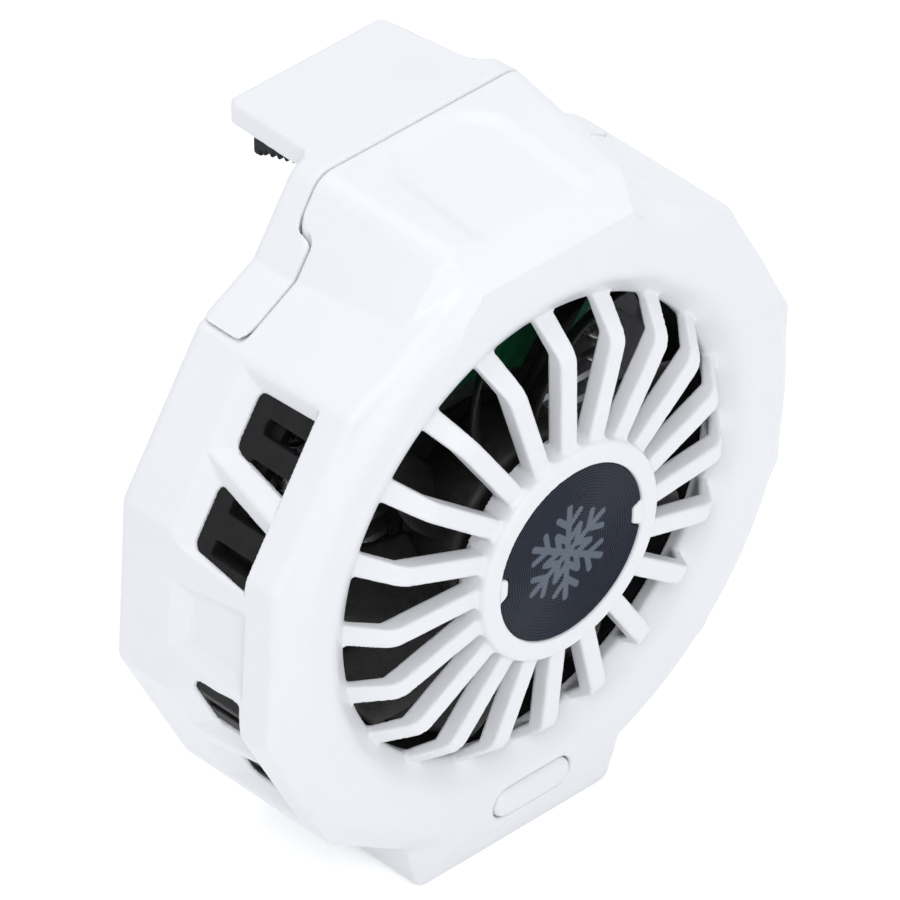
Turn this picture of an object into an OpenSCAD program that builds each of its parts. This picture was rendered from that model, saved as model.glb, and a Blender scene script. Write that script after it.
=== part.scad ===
// Clip-on phone cooler: twelve-sided fan body, spring clamp, cold plate and thermoelectric stack.
// The origin is the middle of the face that touches the phone. The front grille looks towards -Y, +Z is up.
// Shapes are drawn as seen from the front: x right, y up, and z the distance in front of the phone.

/* [Body] */
// Width of the twelve-sided body across its flats
body_flats = 69.4; // [67:0.1:72]
// Thickness of the moulded outer walls
wall = 1.8; // [1.5:0.1:2.1]
// How far the back of the body stays off the phone
back_gap = 0.8; // [0.6:0.1:1.4]
// Thickness of the rear plate
back_wall = 2; // [1.5:0.1:2.2]
// Half width of the hump's flat top at its front ridge
hump_half = 11.1; // [10.6:0.1:11.6]
// Half width of the hump at its front ridge where it meets the body
hump_foot = 16.2; // [15.8:0.1:16.6]
// Widening of the hump on each side towards the back for each millimetre of depth
hump_draft = 0.11; // [0:0.01:0.12]
// Height of the front ridge of the hump above the fan axis
hump_height = 36.6; // [36:0.1:38]
// Rise of the hump towards the back for each millimetre of depth
hump_slope = 0.12; // [0:0.005:0.16]
// Depth of the shallow panel in the hump's top
panel_depth = 0.5; // [0.2:0.1:0.8]
// Distance of the flat bottom below the fan axis
block_drop = 37.6; // [37:0.1:38.5]
// Half width of the flat bottom
block_half = 11.9; // [11.4:0.1:12.4]
// Half width of the bottom block where it meets the body
block_shoulder = 14.9; // [14.4:0.1:15.5]
// Bevel at the lower corners of the bottom block
block_bevel = 1.2; // [0.6:0.1:1.6]

/* [Front cover] */
// Step from the body's flats in to the raised round bezel
bezel_step = 0.8; // [0.5:0.1:1.5]
// Width of the bezel's round edge
bezel_round = 2.35; // [1.9:0.05:2.7]
// Height of the bezel's round edge below its flat front
bezel_edge = 1.6; // [1.2:0.1:2]
// Depth of the straight twelve-sided rim
rim_depth = 3.7; // [3.4:0.1:4]
// Bevel on the front edge of the rim
rim_bevel = 0.5; // [0.2:0.1:0.8]
// Radius of the dish round the grille where it meets the front face
dish_r = 27.8; // [27.4:0.1:28.2]
// Depth of that dish at the grille opening
dish_depth = 2.2; // [2:0.1:2.3]
// Radius of the grille opening
opening_r = 24.8; // [24.6:0.1:25]
// Wall of the collar round the grille opening
collar_wall = 1; // [0.8:0.1:1.1]
// How far the collar reaches in from the front face
collar_depth = 3.6; // [3.4:0.1:3.7]
// Thickness of the front plate
face_wall = 2.2; // [1.8:0.1:2.4]
// How far the hub stands in front of the bezel
hub_rise = 3.4; // [3:0.1:4]
// Outer radius of the hub ring
hub_ring_r = 11.8; // [11.4:0.1:12.4]
// Radius of the hub disc
disc_r = 9.5; // [9:0.1:10]
// Thickness of the hub disc
disc_thick = 1; // [0.8:0.1:1.2]
// How far the ring stands in front of the disc
disc_recess = 0.25; // [0:0.05:0.4]
// Width of the two keys that enter the disc
disc_key = 2.4; // [1.8:0.1:3]
// Number of spokes
spoke_count = 20; // [16:1:24]
// Width of a spoke
spoke_width = 2.1; // [1.8:0.05:2.3]
// Width of a spoke at its outer end
spoke_end_width = 2.5; // [2.2:0.05:2.7]
// Depth of a spoke from front to back
spoke_depth = 2.1; // [1.7:0.1:2.3]
// Radius at which a spoke bends back
spoke_bend_r = 22.1; // [21.5:0.1:22.6]
// Drop of a spoke below the hub at its bend
spoke_bend_drop = 1.4; // [1:0.1:1.6]
// Drop of a spoke below the front face where it ends
spoke_end_drop = 2.1; // [1.7:0.1:2.4]

/* [Vents] */
// Depth of the bevelled frames round the side vents
vent_frame = 1.1; // [0.6:0.1:1.4]
// Distance of the vents' rear edge in front of the back cover
vent_back = 7.4; // [6.8:0.1:7.8]
// Gap between the vents and the front edge of the housing
vent_lip = 0.6; // [0.4:0.1:1]
// Width of the bevel at the rear edge of a vent
vent_bevel = 2.2; // [1.6:0.1:2.6]

/* [Clamp] */
// Travel of the sliding jaw
jaw_travel = 21; // [16:0.5:22]
// Distance that the arms reach behind the phone's back
arm_reach = 10.9; // [9:0.1:13]
// Width of the arms at their tips
arm_width = 20.2; // [18:0.1:21]
// Width of the arms where they leave the body
arm_root = 22.6; // [21:0.1:23]
// Thickness of the arms
arm_thick = 2.6; // [2.3:0.1:2.8]
// Corner radius of the arms
arm_corner = 1.3; // [0.8:0.1:2]
// Step from the jaw's top down to the sliding arm's top
arm_drop = 0.2; // [0.1:0.1:1.2]
// Angle in degrees by which the sliding arm droops towards its tip
arm_tilt = 3.5; // [0:0.5:4]
// Thickness of the wedge-shaped rubber pads at their far end
pad_thick = 3.5; // [3:0.1:3.5]
// Thickness of the rubber pads next to the phone's back
pad_front = 1.4; // [1:0.1:1.6]
// Height of the ribs on the rubber pads
rib_height = 0.7; // [0.4:0.1:0.9]
// Spacing of the ribs
rib_pitch = 0.9; // [0.8:0.05:1.2]
// Margin between a rubber pad and the edges of its arm
pad_margin = 1.7; // [1.4:0.1:2.4]
// Height of the seam below the jaw's cheeks
cheek_bottom = 25.6; // [25.5:0.1:26.2]
// Depth of the jaw's cheeks in front of the phone
cheek_depth = 6.5; // [6.2:0.1:6.8]
// Depth of the jaw's top in front of the phone
cap_depth = 4.3; // [3.8:0.1:4.8]
// Height at which the seam steps from the cheek to the top
step_height = 33.1; // [32.7:0.1:33.5]
// Height of that step
step_rise = 0.9; // [0.4:0.1:1]
// Gap all round the sliding jaw
jaw_gap = 0.25; // [0.2:0.05:0.4]
// Distance of the guide rods from the middle
rod_x = 21.2; // [21:0.1:21.4]
// Radius of the guide rods
rod_r = 1; // [0.8:0.1:1.2]
// Distance of the guide rods in front of the phone
rod_depth = 9.1; // [8.9:0.1:9.3]
// Half length of the guide rods
rod_half = 22; // [21.5:0.1:22.5]
// Height of the bosses that hold the rods
boss_height = 2.5; // [2:0.1:3]
// Depth of the part of a boss that joins the wall, behind the vents
boss_root = 1.5; // [1:0.1:2]
// Radius of the jaw's lugs round the rods
lug_r = 2.2; // [2:0.1:2.3]
// Height of the lugs
lug_height = 4; // [3:0.1:5]
// Width of the jaw's guide legs
leg_width = 3.2; // [2.6:0.1:3.6]
// Thickness of the guide legs
leg_thick = 2; // [1.6:0.1:2.2]
// Radius of the springs' outside
spring_r = 1.9; // [1.7:0.1:2]
// Wire thickness of the springs
spring_wire = 0.5; // [0.4:0.05:0.5]
// Turns of each spring
spring_turns = 12; // [8:1:14]

/* [Cooling stack] */
// Side of the square cold plate
plate_side = 34; // [33.5:0.5:34.5]
// Corner radius of the cold plate
plate_corner = 2; // [1:0.1:3]
// Width of the flange round the cold plate
plate_flange = 1.5; // [1:0.1:1.6]
// Thickness of that flange
flange_thick = 1; // [0.8:0.1:1.4]
// Thickness of the soft contact pad
contact_thick = 0.8; // [0.5:0.1:1]
// Side of the thermoelectric module
module_side = 29; // [26:0.5:29.5]
// Thickness of each ceramic plate
ceramic_thick = 0.7; // [0.6:0.1:1]
// Height of the thermoelectric legs
pellet_height = 1.6; // [1.2:0.1:2]
// Side of a thermoelectric leg
pellet_side = 1.4; // [1:0.1:1.6]
// Legs along each side of the module
pellet_rows = 8; // [6:1:10]
// Side of the square heat sink
sink_side = 37; // [36:0.5:37.5]
// Thickness of the heat sink's base
sink_base = 1.6; // [1.2:0.1:2]
// Height of the heat sink's fins
fin_height = 3.4; // [2.5:0.1:4]
// Thickness of a fin
fin_thick = 0.8; // [0.6:0.1:1]
// Spacing of the fins
fin_pitch = 2.6; // [2.2:0.1:3.4]

/* [Fan] */
// Inner radius of the fan's duct
duct_r = 25.1; // [25:0.1:25.4]
// Wall of the duct
duct_wall = 1.1; // [0.9:0.1:1.2]
// Thickness of the motor bracket
bracket_thick = 1.2; // [1:0.1:1.5]
// Width of the bracket's arms
bracket_arm = 3; // [2:0.1:4]
// Outer radius of the impeller's cup
cup_r = 10.4; // [10.2:0.1:10.8]
// Wall of the impeller's cup
cup_wall = 1.2; // [1:0.1:1.3]
// Tip radius of the blades
blade_tip_r = 24.2; // [23.6:0.1:24.3]
// Number of blades
blade_count = 9; // [7:1:11]
// Depth of the blades along the axis
blade_depth = 5.4; // [4.5:0.1:5.6]
// Turn of a blade from its back edge to its front edge at the cup, in degrees
blade_turn = 34; // [26:1:38]
// Sweep of a blade from the cup to its tip, in degrees
blade_sweep = 16; // [0:1:24]
// Angle of the first blade at rest
blade_start = 15; // [0:1:39]
// Thickness of a blade
blade_thick = 1; // [0.8:0.1:1.3]
// Running gap between the impeller and what stands still
run_gap = 0.5; // [0.4:0.05:0.7]
// Radius of the rotor shaft
shaft_r = 0.75; // [0.6:0.05:1]
// Running clearance of the shaft in its sleeve
shaft_play = 0.03; // [0.02:0.01:0.06]
// Outer radius of the bearing sleeve
sleeve_r = 2; // [1.8:0.1:2.2]
// Wall of the tube that holds the sleeve
tube_wall = 0.9; // [0.7:0.1:1.1]
// Thickness of the stator's iron
stator_thick = 3.2; // [2.6:0.1:3.4]
// Outer radius of the stator
stator_r = 7.1; // [6.8:0.1:7.2]
// Thickness of the magnet ring
magnet_thick = 1.4; // [1.2:0.1:1.6]
// Poles of the stator
pole_count = 4; // [4:1:6]
// Inner radius of the slotted liner behind the vents
liner_r = 31; // [30.6:0.1:31.2]
// Thickness of the liner
liner_wall = 1.3; // [1:0.1:1.5]
// Half of the angle that each side of the liner covers
liner_half = 43; // [40:1:43]
// Slots in each side of the liner
liner_slots = 9; // [6:1:10]

/* [Electronics] */
// Thickness of the circuit boards
board_thick = 1; // [0.8:0.1:1.2]
// Inner radius of the control board
board_in_r = 12.6; // [12:0.1:14]
// Angle at which the control board begins
board_from = 40; // [36:1:44]
// Angle at which the control board ends
board_to = 150; // [140:1:152]
// Half width of the board in the bottom block
port_board_half = 8.4; // [7.5:0.1:8.8]
// Outer width of the power socket's shell
port_width = 8.94; // [8.8:0.01:9.1]
// Outer height of the power socket's shell
port_height = 3.26; // [3.1:0.01:3.4]
// Length of the power socket
port_length = 7.3; // [6.5:0.1:7.6]
// Thickness of the socket's sheet metal
port_sheet = 0.3; // [0.25:0.05:0.4]
// Length of the button
button_length = 10.2; // [9:0.1:11]
// Height of the button
button_height = 3.2; // [2.8:0.1:3.3]
// Height of the button's middle below the fan axis
button_drop = 30.6; // [30.4:0.1:30.8]
// How far the button stands in front of the face
button_proud = 0.5; // [0.2:0.05:0.6]
// Gap round the button
button_gap = 0.15; // [0.1:0.05:0.25]
// Travel of the button
button_travel = 0.4; // [0.3:0.05:0.5]
// Side of the switch
switch_side = 4.6; // [4:0.1:5]
// Radius of the switch's plunger
plunger_r = 1.1; // [0.8:0.1:1.4]

/* [Fasteners] */
// Radius of the screws' shanks
screw_r = 0.9; // [0.8:0.05:1]
// Radius of the screws' heads
head_r = 1.7; // [1.5:0.05:1.9]
// Height of the screws' heads
head_height = 1; // [0.8:0.1:1.2]
// Radius of the posts that take the screws
post_r = 2.1; // [2:0.1:2.3]
// Clearance between a screw and the hole that it only passes
screw_play = 0.15; // [0.1:0.05:0.25]
// Radius on which the front cover's screws lie
front_screw_r = 30.6; // [30.4:0.1:30.8]

/* [Hidden] */
$fn = 96;

// General values
over = 1;                        // how far a cut runs past a face
fixed_fit = 0.02;                // clearance of a fixed pin in its hole
sunk = 0.1;                      // how far an added shape ends inside the shape that it joins
facet = 30;                      // angle between neighbouring facets of the body
apothem = body_flats / 2;
inner_apothem = apothem - wall;
bezel_r = apothem - bezel_step;
face_r = bezel_r - bezel_round;
sides = [-1, 1];

// Distances in front of the phone, from the cold plate forward
z_in = back_gap + back_wall;
z_ceramic = z_in + flange_thick;
z_pellet = z_ceramic + ceramic_thick;
z_hot = z_pellet + pellet_height;
z_sink = z_hot + ceramic_thick;
z_fin = z_sink + sink_base;
z_fin_top = z_fin + fin_height;
board_lift = 0.2;
z_board = z_fin_top + board_lift;
z_bracket = z_board + board_thick;
z_motor_board = z_bracket + bracket_thick;
z_blade = z_motor_board + run_gap;
coil_overhang = 0.9;
z_stator = z_motor_board + board_thick + coil_overhang;
z_stator_top = z_stator + stator_thick;
z_cup_in = z_stator_top + coil_overhang + run_gap;
z_cup_top = z_cup_in + cup_wall;
face_gap = 1.8;
z_face = z_cup_top + face_gap;
z_rim = z_face - bezel_edge;
z_split = z_rim - rim_depth;
z_plate_in = z_face - face_wall;
z_hub = z_face + hub_rise;
z_collar = z_face - collar_depth;
z_dish = z_face - dish_depth;

// Hump and bottom block
ridge_back = 3.9;
z_ridge = z_face - ridge_back;
nose_taper = 1.5;                // narrowing of the hump from its ridge to the front face
nose_foot_taper = 2.3;
nose_drop = 3.3;                 // fall of the hump from its ridge to the front face
nose_foot_y = sqrt(face_r * face_r - pow(hump_foot - nose_foot_taper, 2)) - sunk;
hump_base = apothem * 0.7;
shoulder_y = facet_height(block_shoulder);
chin_back = 2.3;                 // depth of the sloping chin under the button
chin_rise = 4.3;
chin_taper = 2.3;
chin_shoulder_y = sqrt(face_r * face_r - pow(block_shoulder - chin_taper, 2)) - sunk;
block_base = apothem * 0.65;
panel_half = 6.6;                // half width of the shallow panel in the hump's top
panel_corner = 2.1;              // its cut-off rear corners
panel_margin = 1.8;              // what is left between the panel and the seam
panel_end = z_ridge - cap_depth - panel_margin;

// Height of the sloping facets at a distance from the middle, just below their surface
function facet_height(half) = (apothem - half * sin(facet)) / cos(facet) - sunk;

function hump_top(z) = hump_height + (z_ridge - z) * hump_slope;
function hump_spread(z) = (z_ridge - z) * hump_draft;

function hump_outline(half, top, foot, foot_height) = [
    [-foot, hump_base], [foot, hump_base], [foot, foot_height],
    [half, top], [-half, top], [-foot, foot_height]];

function hump_at(z, inset = 0) = let (half = hump_half + hump_spread(z), foot = hump_foot + hump_spread(z))
    hump_outline(half - inset, hump_top(z) - inset, foot - inset, facet_height(foot) - inset);

function block_outline(half, drop, shoulder, shoulder_drop) = [
    [-half, -drop], [half, -drop], [half + block_bevel, block_bevel / 2 - drop],
    [shoulder, -shoulder_drop], [shoulder, -block_base], [-shoulder, -block_base],
    [-shoulder, -shoulder_drop], [-half - block_bevel, block_bevel / 2 - drop]];

// Solid between two outlines with the same number of points, counted anticlockwise
module loft(low, z_low, high, z_high) {
    n = len(low);
    points = concat([for (p = low) [p.x, p.y, z_low]], [for (p = high) [p.x, p.y, z_high]]);
    walls = [for (i = [0 : n - 1]) let (j = (i + 1) % n) each [[i, n + i, n + j], [i, n + j, j]]];
    polyhedron(points, concat([[for (i = [0 : n - 1]) i]], walls, [[for (i = [n - 1 : -1 : 0]) n + i]]));
}

// Solid through a row of outlines with the same number of points, counted anticlockwise
module through(outlines) {
    n = len(outlines[0]);
    last = (len(outlines) - 1) * n;
    walls = [for (k = [0 : len(outlines) - 2], i = [0 : n - 1]) let (a = k * n + i, b = k * n + (i + 1) % n)
        each [[a, n + a, n + b], [a, n + b, b]]];
    polyhedron([for (outline = outlines) each outline],
        concat([[for (i = [0 : n - 1]) i]], walls, [[for (i = [n - 1 : -1 : 0]) last + i]]));
}

// Turns the front drawing upright: x right, y up, z to the front
module facing() {
    rotate([90, 0, 0]) children();
}

// Extrudes a side view, drawn as distance behind the phone's back against height, across the width
module across(width) {
    translate([-width / 2, 0, 0]) rotate([0, 90, 0]) linear_extrude(width) children();
}

// Extrudes a plan, drawn as width against distance behind the phone's back, upwards from a height
module upwards(bottom, height) {
    translate([0, bottom, 0]) rotate([-90, 0, 0]) linear_extrude(height) children();
}

module post(x, y, bottom, top, radius) {
    translate([x, y, bottom]) cylinder(r = radius, h = top - bottom);
}

module stadium(length, height) {
    square([length - height, height], center = true);
    for (side = sides) translate([side * (length - height) / 2, 0]) circle(d = height);
}

module rounded_square(side, corner) {
    square([side, side - 2 * corner], center = true);
    square([side - 2 * corner, side], center = true);
    for (a = sides, b = sides) translate([a, b] * (side / 2 - corner)) circle(corner);
}

module ring(outer, inner, bottom, top) {
    translate([0, 0, bottom]) linear_extrude(top - bottom) difference() {
        circle(outer);
        circle(inner);
    }
}

module body_outline(flat_distance) {
    rotate(facet / 2) circle(flat_distance / cos(facet / 2), $fn = 12);
}

function body_corners(flat_distance) = [for (i = [0 : 11])
    flat_distance / cos(facet / 2) * [cos(facet * (i + 0.5)), sin(facet * (i + 0.5))]];

// Side vents: each opening is given as [low, high] along its facet at the back edge and at the front edge
vent_side = 1.6;                 // half width of the ridges between vents
z_vent = z_in + vent_back;
z_vent_front = z_split - vent_lip;
upper_vents = [[[-6.8, -0.6], [-7.1, 1.1]], [[2.9, 9.7], [4.9, 10.7]]];
lower_vents = [[[-11.6, -3.6], [-12, -5]], [[2.3, 6.7], [-0.9, 6.3]]];
pocket = [[-2.5, 2.9], [-3.8, 3.6]];

function vent_quad(vent, side, back) = [
    [-z_vent_front, vent[1][0] - side], [back - z_vent, vent[0][0] - side],
    [back - z_vent, vent[0][1] + side], [-z_vent_front, vent[1][1] + side]];

module on_facet(angle) {
    rotate(angle) translate([apothem, 0, 0]) rotate([0, 90, 0]) children();
}

module vent_frame_cut(vent) {
    spread = 1 + over / vent_frame;
    loft(vent_quad(vent, 0, 0), -vent_frame, vent_quad(vent, spread * vent_side, spread * vent_bevel), over);
}

module vent_cut(vent) {
    vent_frame_cut(vent);
    translate([0, 0, -wall - over]) linear_extrude(wall + over) polygon(vent_quad(vent, 0, 0));
}

module side_vents() {
    on_facet(180 - facet) for (vent = upper_vents) vent_cut(vent);
    on_facet(180 + facet) for (vent = lower_vents) vent_cut(vent);
    on_facet(180) vent_frame_cut(pocket);
}

// Room for the sliding jaw, and the jaw itself without a gap
cap_foot = hump_foot + hump_spread(cap_depth);
cap_lean = (hump_foot - hump_half) / (hump_top(cap_depth) - facet_height(cap_foot));
step_x = cap_foot - cap_lean * (step_height + step_rise - facet_height(cap_foot));
jaw_ceiling = hump_top(cap_depth) + over;
arm_top = hump_top(cap_depth) - arm_drop;
function cap_zone(gap) = [
    [-cap_depth - gap, cheek_bottom - gap], [gap * over - back_gap, cheek_bottom - gap],
    [gap * over - back_gap, jaw_ceiling], [-cap_depth - gap, jaw_ceiling]];
function cheek_zone(gap) = [[-cheek_depth - gap, cheek_bottom - gap], [-cap_depth, cheek_bottom - gap],
    [-cap_depth, step_height + step_rise + gap], [-cheek_depth - gap, step_height + gap]];

module jaw_room(gap) {
    across(body_flats) polygon(cap_zone(gap));
    difference() {
        across(body_flats) polygon(cheek_zone(gap));
        translate([0, apothem, 0])
            cube([2 * (step_x + jaw_gap - gap), body_flats, body_flats], center = true);
    }
}

// Clamp guides
lug_play = 0.06;                 // running clearance of the lugs on the rods
leg_gap = 0.4;
z_leg = z_in + leg_gap;
lug_bottom = -rod_half + boss_height + leg_gap;
lug_top = lug_bottom + lug_height;
boss_under = rod_half - boss_height;
boss_out = (inner_apothem - rod_half * sin(facet)) / cos(facet) + wall / 2;

module upright(x, z, bottom, top, radius) {
    translate([x, bottom, z]) rotate([-90, 0, 0]) cylinder(r = radius, h = top - bottom);
}

boss_plan = [[rod_x - lug_r, lug_r - rod_depth], [rod_x - lug_r, -lug_r - rod_depth],
    [rod_x + lug_r, -lug_r - rod_depth], [rod_x + lug_r, lug_r - boss_root - rod_depth],
    [boss_out, lug_r - boss_root - rod_depth], [boss_out, lug_r - rod_depth]];

module rod_bosses() {
    for (side = sides, low = [-rod_half, boss_under]) difference() {
        upwards(low, boss_height) polygon([for (p = boss_plan) [side * p.x, p.y]]);
        upright(side * rod_x, rod_depth, low - over, low + boss_height + over, rod_r + fixed_fit);
    }
}

// Screw places
back_post_inset = 1.7;
back_post_rise = 5;
back_posts = [[inner_apothem - post_r - back_post_inset, back_post_rise],
    [block_half + wall / 2, post_r + wall / 2 - shoulder_y]];
back_post_depth = 6;
web_end = inner_apothem + wall / 2;
back_screw_length = 5;
z_lug = z_bracket;
lug_plate = 2;
ear_thick = 2;
z_post = z_lug + lug_plate + ear_thick;
front_screw_length = 6;
screw_turn = 52;
screw_angles = [screw_turn, 180 - screw_turn, 180 + screw_turn, -screw_turn];
sink_screw_gap = 0.3;            // room between the screws and the thermoelectric module
sink_screw_x = module_side / 2 + screw_r + sink_screw_gap;
sink_screw_y = 9;
sink_screw_depth = 2;            // thread left in front of the contact pad's face

module each_back_post() {
    for (side = sides, place = back_posts) translate([side * place.x, place.y, 0]) children();
}

module each_front_screw() {
    for (angle = screw_angles) rotate(angle) translate([front_screw_r, 0, 0]) children();
}

module each_sink_screw() {
    for (a = sides, b = sides) translate([a * sink_screw_x, b * sink_screw_y, 0]) children();
}

// A screw that points along z, with its head below z = 0
module screw(length) {
    difference() {
        translate([0, 0, -head_height]) cylinder(r = head_r, h = head_height);
        translate([0, 0, -head_height - over])
            cylinder(r = head_r / 2, h = over + head_height / 2, $fn = 6);
    }
    cylinder(r = screw_r, h = length);
}

// Bottom block: socket, board and button
port_board_back = 3.2;
z_port_board = z_split - port_board_back;
z_port = z_port_board - port_height / 2;
port_gap = 0.15;
port_sunk = 0.3;                 // depth of the socket's mouth inside the flat bottom
port_bottom = port_sunk - block_drop;
rail_width = 1.4;
rail_overlap = 0.9;
rail_gap = 0.05;
board_bottom = wall + rail_gap - block_drop;
board_top = -28.4;
z_switch = z_port_board + board_thick;
switch_height = 1.9;
flange_height = 0.8;
flange_margin = 0.5;
flange_gap = 0.1;
z_flange = z_plate_in - flange_gap - flange_height;
plunger_play = 0.1;
plunger_sunk = 0.4;              // floor left under the plunger's bore

module board_rails() {
    reach = block_half - port_board_half + rail_overlap;
    for (side = sides, z = [z_port_board - rail_gap - rail_width, z_switch + rail_gap])
        translate([side > 0 ? port_board_half - rail_overlap : -block_half, board_bottom - rail_gap, z])
            cube([reach, board_top - board_bottom, rail_width]);
}

module panel_cut() {
    translate([0, hump_top(z_ridge), z_ridge]) rotate([-90, 0, 0]) rotate([atan(hump_slope), 0, 0])
        translate([0, 0, -panel_depth]) linear_extrude(panel_depth + over) polygon([
            [-panel_half, 0], [panel_half, 0], [panel_half, panel_end - panel_corner],
            [panel_half - panel_corner, panel_end], [panel_corner - panel_half, panel_end],
            [-panel_half, panel_end - panel_corner]]);
}

module main_housing() color("white") facing() {
    difference() {
        union() {
            translate([0, 0, z_in]) linear_extrude(z_split - z_in) {
                body_outline(apothem);
                polygon(block_outline(block_half, block_drop, block_shoulder, shoulder_y));
            }
            loft(hump_at(z_in), z_in, hump_at(z_split), z_split);
        }
        translate([0, 0, z_in - over]) linear_extrude(z_split - z_in + 2 * over) {
            body_outline(inner_apothem);
            polygon(block_outline(
                block_half - wall, block_drop - wall, block_shoulder - wall, shoulder_y - wall));
        }
        loft(hump_at(z_in - over, wall), z_in - over, hump_at(z_split + over, wall), z_split + over);
        jaw_room(jaw_gap);
        side_vents();
        mirror([1, 0, 0]) side_vents();
        for (side = sides) translate([side * rod_x, cheek_bottom, z_leg + leg_thick / 2])
            cube([leg_width + leg_gap, 2 * leg_width, leg_thick + leg_gap], center = true);
        upwards(-block_drop - over, wall + 2 * over) translate([0, -z_port])
            stadium(port_width + 2 * port_gap, port_height + 2 * port_gap);
        panel_cut();
    }
    rod_bosses();
    board_rails();
    each_back_post() difference() {
        translate([0, 0, z_in]) cylinder(r = post_r, h = back_post_depth);
        translate([0, 0, z_in - over]) cylinder(r = screw_r + fixed_fit, h = back_screw_length + over);
    }
    for (side = sides) difference() {
        translate([side > 0 ? back_posts[0].x : -web_end, back_posts[0].y - wall / 2, z_in])
            cube([web_end - back_posts[0].x, wall, back_post_depth]);
        translate([side * back_posts[0].x, back_posts[0].y, z_in - over])
            cylinder(r = post_r - over / 2, h = back_post_depth + 2 * over);
    }
    each_front_screw() difference() {
        union() {
            translate([0, 0, z_lug]) cylinder(r = post_r, h = lug_plate);
            translate([0, -post_r, z_lug])
                cube([web_end - front_screw_r, 2 * post_r, lug_plate]);
        }
        translate([0, 0, z_lug - over]) cylinder(r = screw_r + screw_play, h = lug_plate + 2 * over);
    }
}

// Grille and hub
hub_depth = 3.4;
hub_floor = 1.4;
hub_wall = 1.6;
hub_bevel = 0.5;
disc_play = 0.08;
key_reach = 1.1;
spoke_in_drop = 0.7;
lip_depth = 1.1;
lip_gap = 0.1;
lip_wall = 1;
hollow_r = inner_apothem - lip_gap - lip_wall;

// A spoke runs from the hub to its bend and then back to the dish, where it is wider
module spoke() {
    bend_z = z_hub - spoke_bend_drop;
    start_z = z_hub - spoke_in_drop;
    end_r = opening_r + collar_wall - 2 * sunk;
    through([
        spoke_section(hub_ring_r - hub_wall / 2, start_z - spoke_depth, start_z, spoke_width),
        spoke_section(spoke_bend_r, bend_z - spoke_depth, bend_z, spoke_width),
        spoke_section(end_r, z_collar + sunk, z_face - spoke_end_drop, spoke_end_width)]);
}

function spoke_section(radius, back, front, width) = [
    [radius, -width / 2, back], [radius, width / 2, back],
    [radius, width / 2, front], [radius, -width / 2, front]];

module hub_ring() {
    z_pocket = z_hub - disc_thick;
    z_top = z_hub + disc_recess;
    pocket_r = disc_r + disc_play;
    rotate_extrude() polygon([
        [0, z_pocket - hub_floor], [hub_ring_r - hub_wall, z_pocket - hub_floor],
        [hub_ring_r - hub_wall, z_hub - hub_depth], [hub_ring_r, z_hub - hub_depth],
        [hub_ring_r, z_top - hub_bevel], [hub_ring_r - hub_bevel, z_top],
        [pocket_r, z_top], [pocket_r, z_pocket], [0, z_pocket]]);
    for (turn = [0, 180]) rotate(turn) translate([disc_r - key_reach, -disc_key / 2, z_pocket])
        cube([key_reach + hub_wall / 2, disc_key, disc_thick + disc_recess / 2]);
}

module cover_shell() {
    difference() {
        union() {
            loft(body_corners(apothem), z_split, body_corners(apothem), z_rim - rim_bevel);
            loft(body_corners(apothem), z_rim - rim_bevel, body_corners(apothem - rim_bevel), z_rim);
            rotate_extrude() polygon([[0, z_split + rim_depth / 2], [bezel_r, z_split + rim_depth / 2],
                [bezel_r, z_rim], [bezel_r - bezel_edge / 2, z_face - bezel_edge / 4],
                [face_r, z_face], [0, z_face]]);
            loft(hump_at(z_split), z_split, hump_at(z_ridge), z_ridge);
            loft(hump_at(z_ridge), z_ridge, hump_outline(hump_half - nose_taper, hump_height - nose_drop,
                hump_foot - nose_foot_taper, nose_foot_y), z_face - sunk);
            translate([0, 0, z_split]) linear_extrude(z_face - chin_back - z_split)
                polygon(block_outline(block_half, block_drop, block_shoulder, shoulder_y));
            loft(block_outline(block_half, block_drop, block_shoulder, shoulder_y), z_face - chin_back,
                block_outline(block_half - chin_taper, block_drop - chin_rise, block_shoulder - chin_taper,
                chin_shoulder_y), z_face - sunk);
        }
        translate([0, 0, z_split - over]) cylinder(r = hollow_r, h = z_plate_in - z_split + over);
        translate([-block_half + wall / 2, -block_drop + chin_rise - wall / 2, z_split - over])
            cube([2 * block_half - wall, block_drop - chin_rise - opening_r, z_plate_in - z_split + over]);
        panel_cut();
        translate([0, -button_drop, z_split]) linear_extrude(z_face)
            stadium(button_length + 2 * button_gap, button_height + 2 * button_gap);
    }
}

// The grille opening: straight inside its collar, then a dish up to the front face
module opening_cut() {
    flare = over * (dish_r - opening_r) / dish_depth;
    rotate_extrude() polygon([[0, z_split], [opening_r, z_split], [opening_r, z_dish],
        [dish_r + flare, z_face + over], [0, z_face + over]]);
}

module front_cover() color("white") facing() {
    difference() {
        union() {
            cover_shell();
            ring(opening_r + collar_wall, opening_r - collar_wall, z_collar, z_face - rim_bevel);
        }
        opening_cut();
    }
    hub_ring();
    for (i = [0 : spoke_count - 1]) rotate(i * 360 / spoke_count) spoke();
    each_front_screw() difference() {
        translate([0, 0, z_post]) cylinder(r = post_r, h = z_plate_in - z_post + rim_bevel);
        translate([0, 0, z_post - over])
            cylinder(r = screw_r + fixed_fit, h = front_screw_length + z_lug - z_post + 2 * over);
    }
}

module hub_disc() color("#262a30") facing() {
    z_low = z_hub - disc_thick;
    difference() {
        translate([0, 0, z_low]) cylinder(r = disc_r, h = disc_thick);
        for (turn = [0, 180]) rotate(turn)
            translate([disc_r - key_reach - disc_play, -disc_key / 2 - disc_play, z_low - over])
                cube([key_reach + over, disc_key + 2 * disc_play, disc_thick + 2 * over]);
    }
}

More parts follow.
